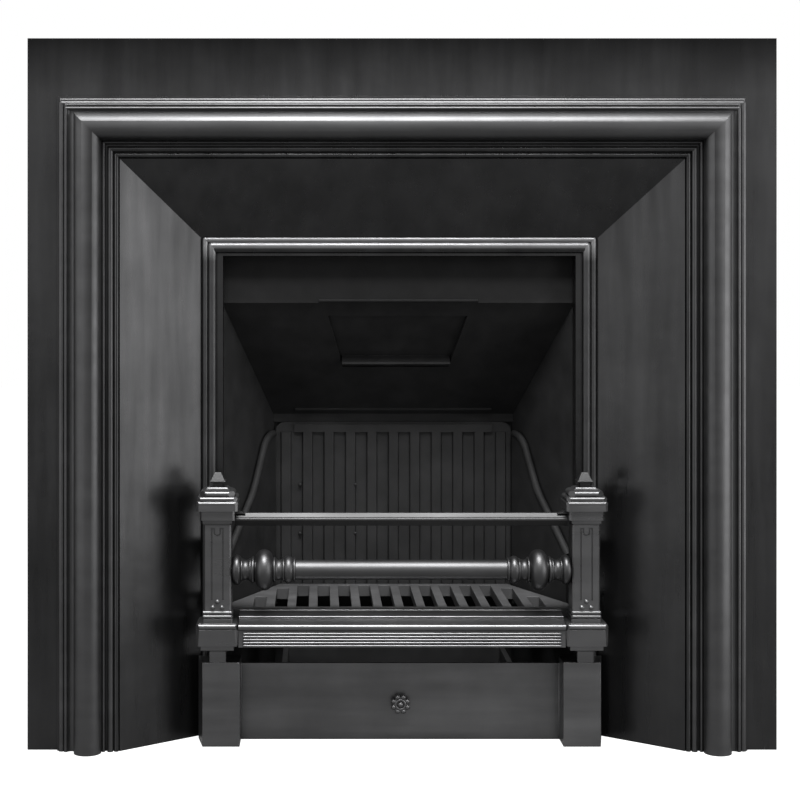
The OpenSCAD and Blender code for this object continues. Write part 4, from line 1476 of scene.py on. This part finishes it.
@dataclass
class Lamp:
    """One soft box.

    Attributes:
        name: The lamp's name.
        place: Where it stands.
        aim: What it points at.
        power: Its power in watts.
        width: Width of the box.
        height: Height of the box.
    """

    name: str
    place: Place
    aim: Place
    power: float
    width: float
    height: float

    def hang(self) -> None:
        """Puts the lamp in the scene."""
        data = bpy.data.lights.new(self.name, "AREA")
        data.shape = "RECTANGLE"
        data.size = self.width
        data.size_y = self.height
        data.energy = self.power
        lamp = put(self.name, data)
        lamp.location = self.place
        lamp.visible_camera = False
        way = Vector(self.aim) - Vector(self.place)
        lamp.rotation_euler = way.to_track_quat("-Z", "Y").to_euler()


@dataclass
class Studio:
    """Floor, light and camera.

    Attributes:
        camera_place: Where the camera stands.
        lens: Its focal length in millimetres.
        shift: How far its picture is shifted, in picture widths.
        sky: Brightness of the sky as light.
        paper: Reflectance of the floor as the object sees it.
        floor_reach: How far the floor reaches from the middle.
        floor_tone: Reflectance of the floor as the camera sees it.
        floor_glow: Brightness that the camera sees in the floor.
        floor_share: How far that brightness takes the place of the lit floor.
        lamps: The soft boxes.
    """

    camera_place: Place = (-0.1135, FACE_Y - 2.2, 0.61)
    lens: float = 73.0
    shift: tuple[float, float] = (0.102, -0.125)
    sky: float = 0.27
    paper: float = 0.19
    floor_reach: float = 9.0
    floor_tone: float = 0.9
    floor_glow: float = 1.2
    floor_share: float = 0.8
    lamps: tuple[Lamp, ...] = (
        Lamp("key", (-0.02, -0.98, 2.5), (0, -0.14, 0.85), 170, 1.35, 1.3),
        Lamp("right_side", (1.20, -0.58, 0.60), (-0.35, -0.1, 0.6), 12.5, 1.1, 1.15),
        Lamp("left_side", (-1.20, -0.66, 0.60), (0.35, -0.1, 0.6), 3.3, 1.1, 1.15),
    )

    def build(self) -> None:
        """Makes the studio."""
        data = bpy.data.cameras.new("camera")
        data.lens = self.lens
        data.sensor_width = 36
        data.shift_x, data.shift_y = self.shift
        camera = put("camera", data)
        camera.location = self.camera_place
        camera.rotation_euler = (math.pi / 2, 0, 0)
        bpy.context.scene.camera = camera
        bpy.context.scene.view_settings.view_transform = "Standard"
        self._sky()
        self._floor()
        for lamp in self.lamps:
            lamp.hang()
        LOG.info("studio: %d lamps", len(self.lamps))

    def _sky(self) -> None:
        """A sky that is white to the camera and in the iron, and softer as light."""
        world = bpy.data.worlds.new("studio_sky")
        world.use_nodes = True
        tree = Nodes(world.node_tree)
        seen = tree.add("ShaderNodeLightPath", {}, "Is Camera Ray")
        for name in ("Is Glossy Ray", "Is Transmission Ray"):
            seen = tree.sum("MAXIMUM", seen, tree.add("ShaderNodeLightPath", {}, name))
        feeds = {"Color": (1, 1, 1, 1), "Strength": tree.map(seen, self.sky, 1.0, (0.0, 1.0))}
        tree.feed(tree.group.nodes["Background"], feeds)
        bpy.context.scene.world = world

    def _floor(self) -> None:
        """A floor that the camera sees as pale, with the object's shadow on it."""
        mesh = bpy.data.meshes.new("floor")
        far = self.floor_reach
        corners = [(-far, -far, 0), (far, -far, 0), (far, far, 0), (-far, far, 0)]
        mesh.from_pydata(corners, [], [(0, 1, 2, 3)])
        material = bpy.data.materials.new("floor")
        material.use_nodes = True
        tree = Nodes(material.node_tree)
        ray = tree.add("ShaderNodeLightPath", {}, "Is Camera Ray")
        dark, pale = ((tone, tone, tone, 1) for tone in (self.paper, self.floor_tone))
        feeds = {"Factor": ray, "A": dark, "B": pale}
        tone = tree.add("ShaderNodeMix", feeds, "Result", data_type="RGBA")
        matte = tree.group.nodes["Principled BSDF"]
        tree.feed(matte, {"Base Color": tone, "Roughness": 0.9, "Specular IOR Level": 0.0})
        glow = tree.add("ShaderNodeEmission", {"Strength": self.floor_glow})
        share = tree.times(ray, self.floor_share)
        blend = tree.add("ShaderNodeMixShader", {"Fac": share, 1: matte.outputs[0], 2: glow})
        tree.feed(tree.group.nodes["Material Output"], {"Surface": blend})
        mesh.materials.append(material)
        floor = put("floor", mesh)


def main() -> None:
    """Builds the fireplace an assembly at a time, then the studio round it."""
    assemblies = (
        FrontCasting(), Firebox(), Fireback(), Damper(), Fixings(),
        Grate(), FireFront(), AshpanCover(), AshPan(),
    )
    for assembly in assemblies:
        for piece in assembly.build():
            LOG.info(
                "%s: %s, %d faces, on %s",
                type(assembly).__name__, piece.name, piece.faces, piece.body.value,
            )
    Studio().build()


if __name__ == "__main__":
    logging.basicConfig(level=logging.INFO, format="%(message)s")
    main()
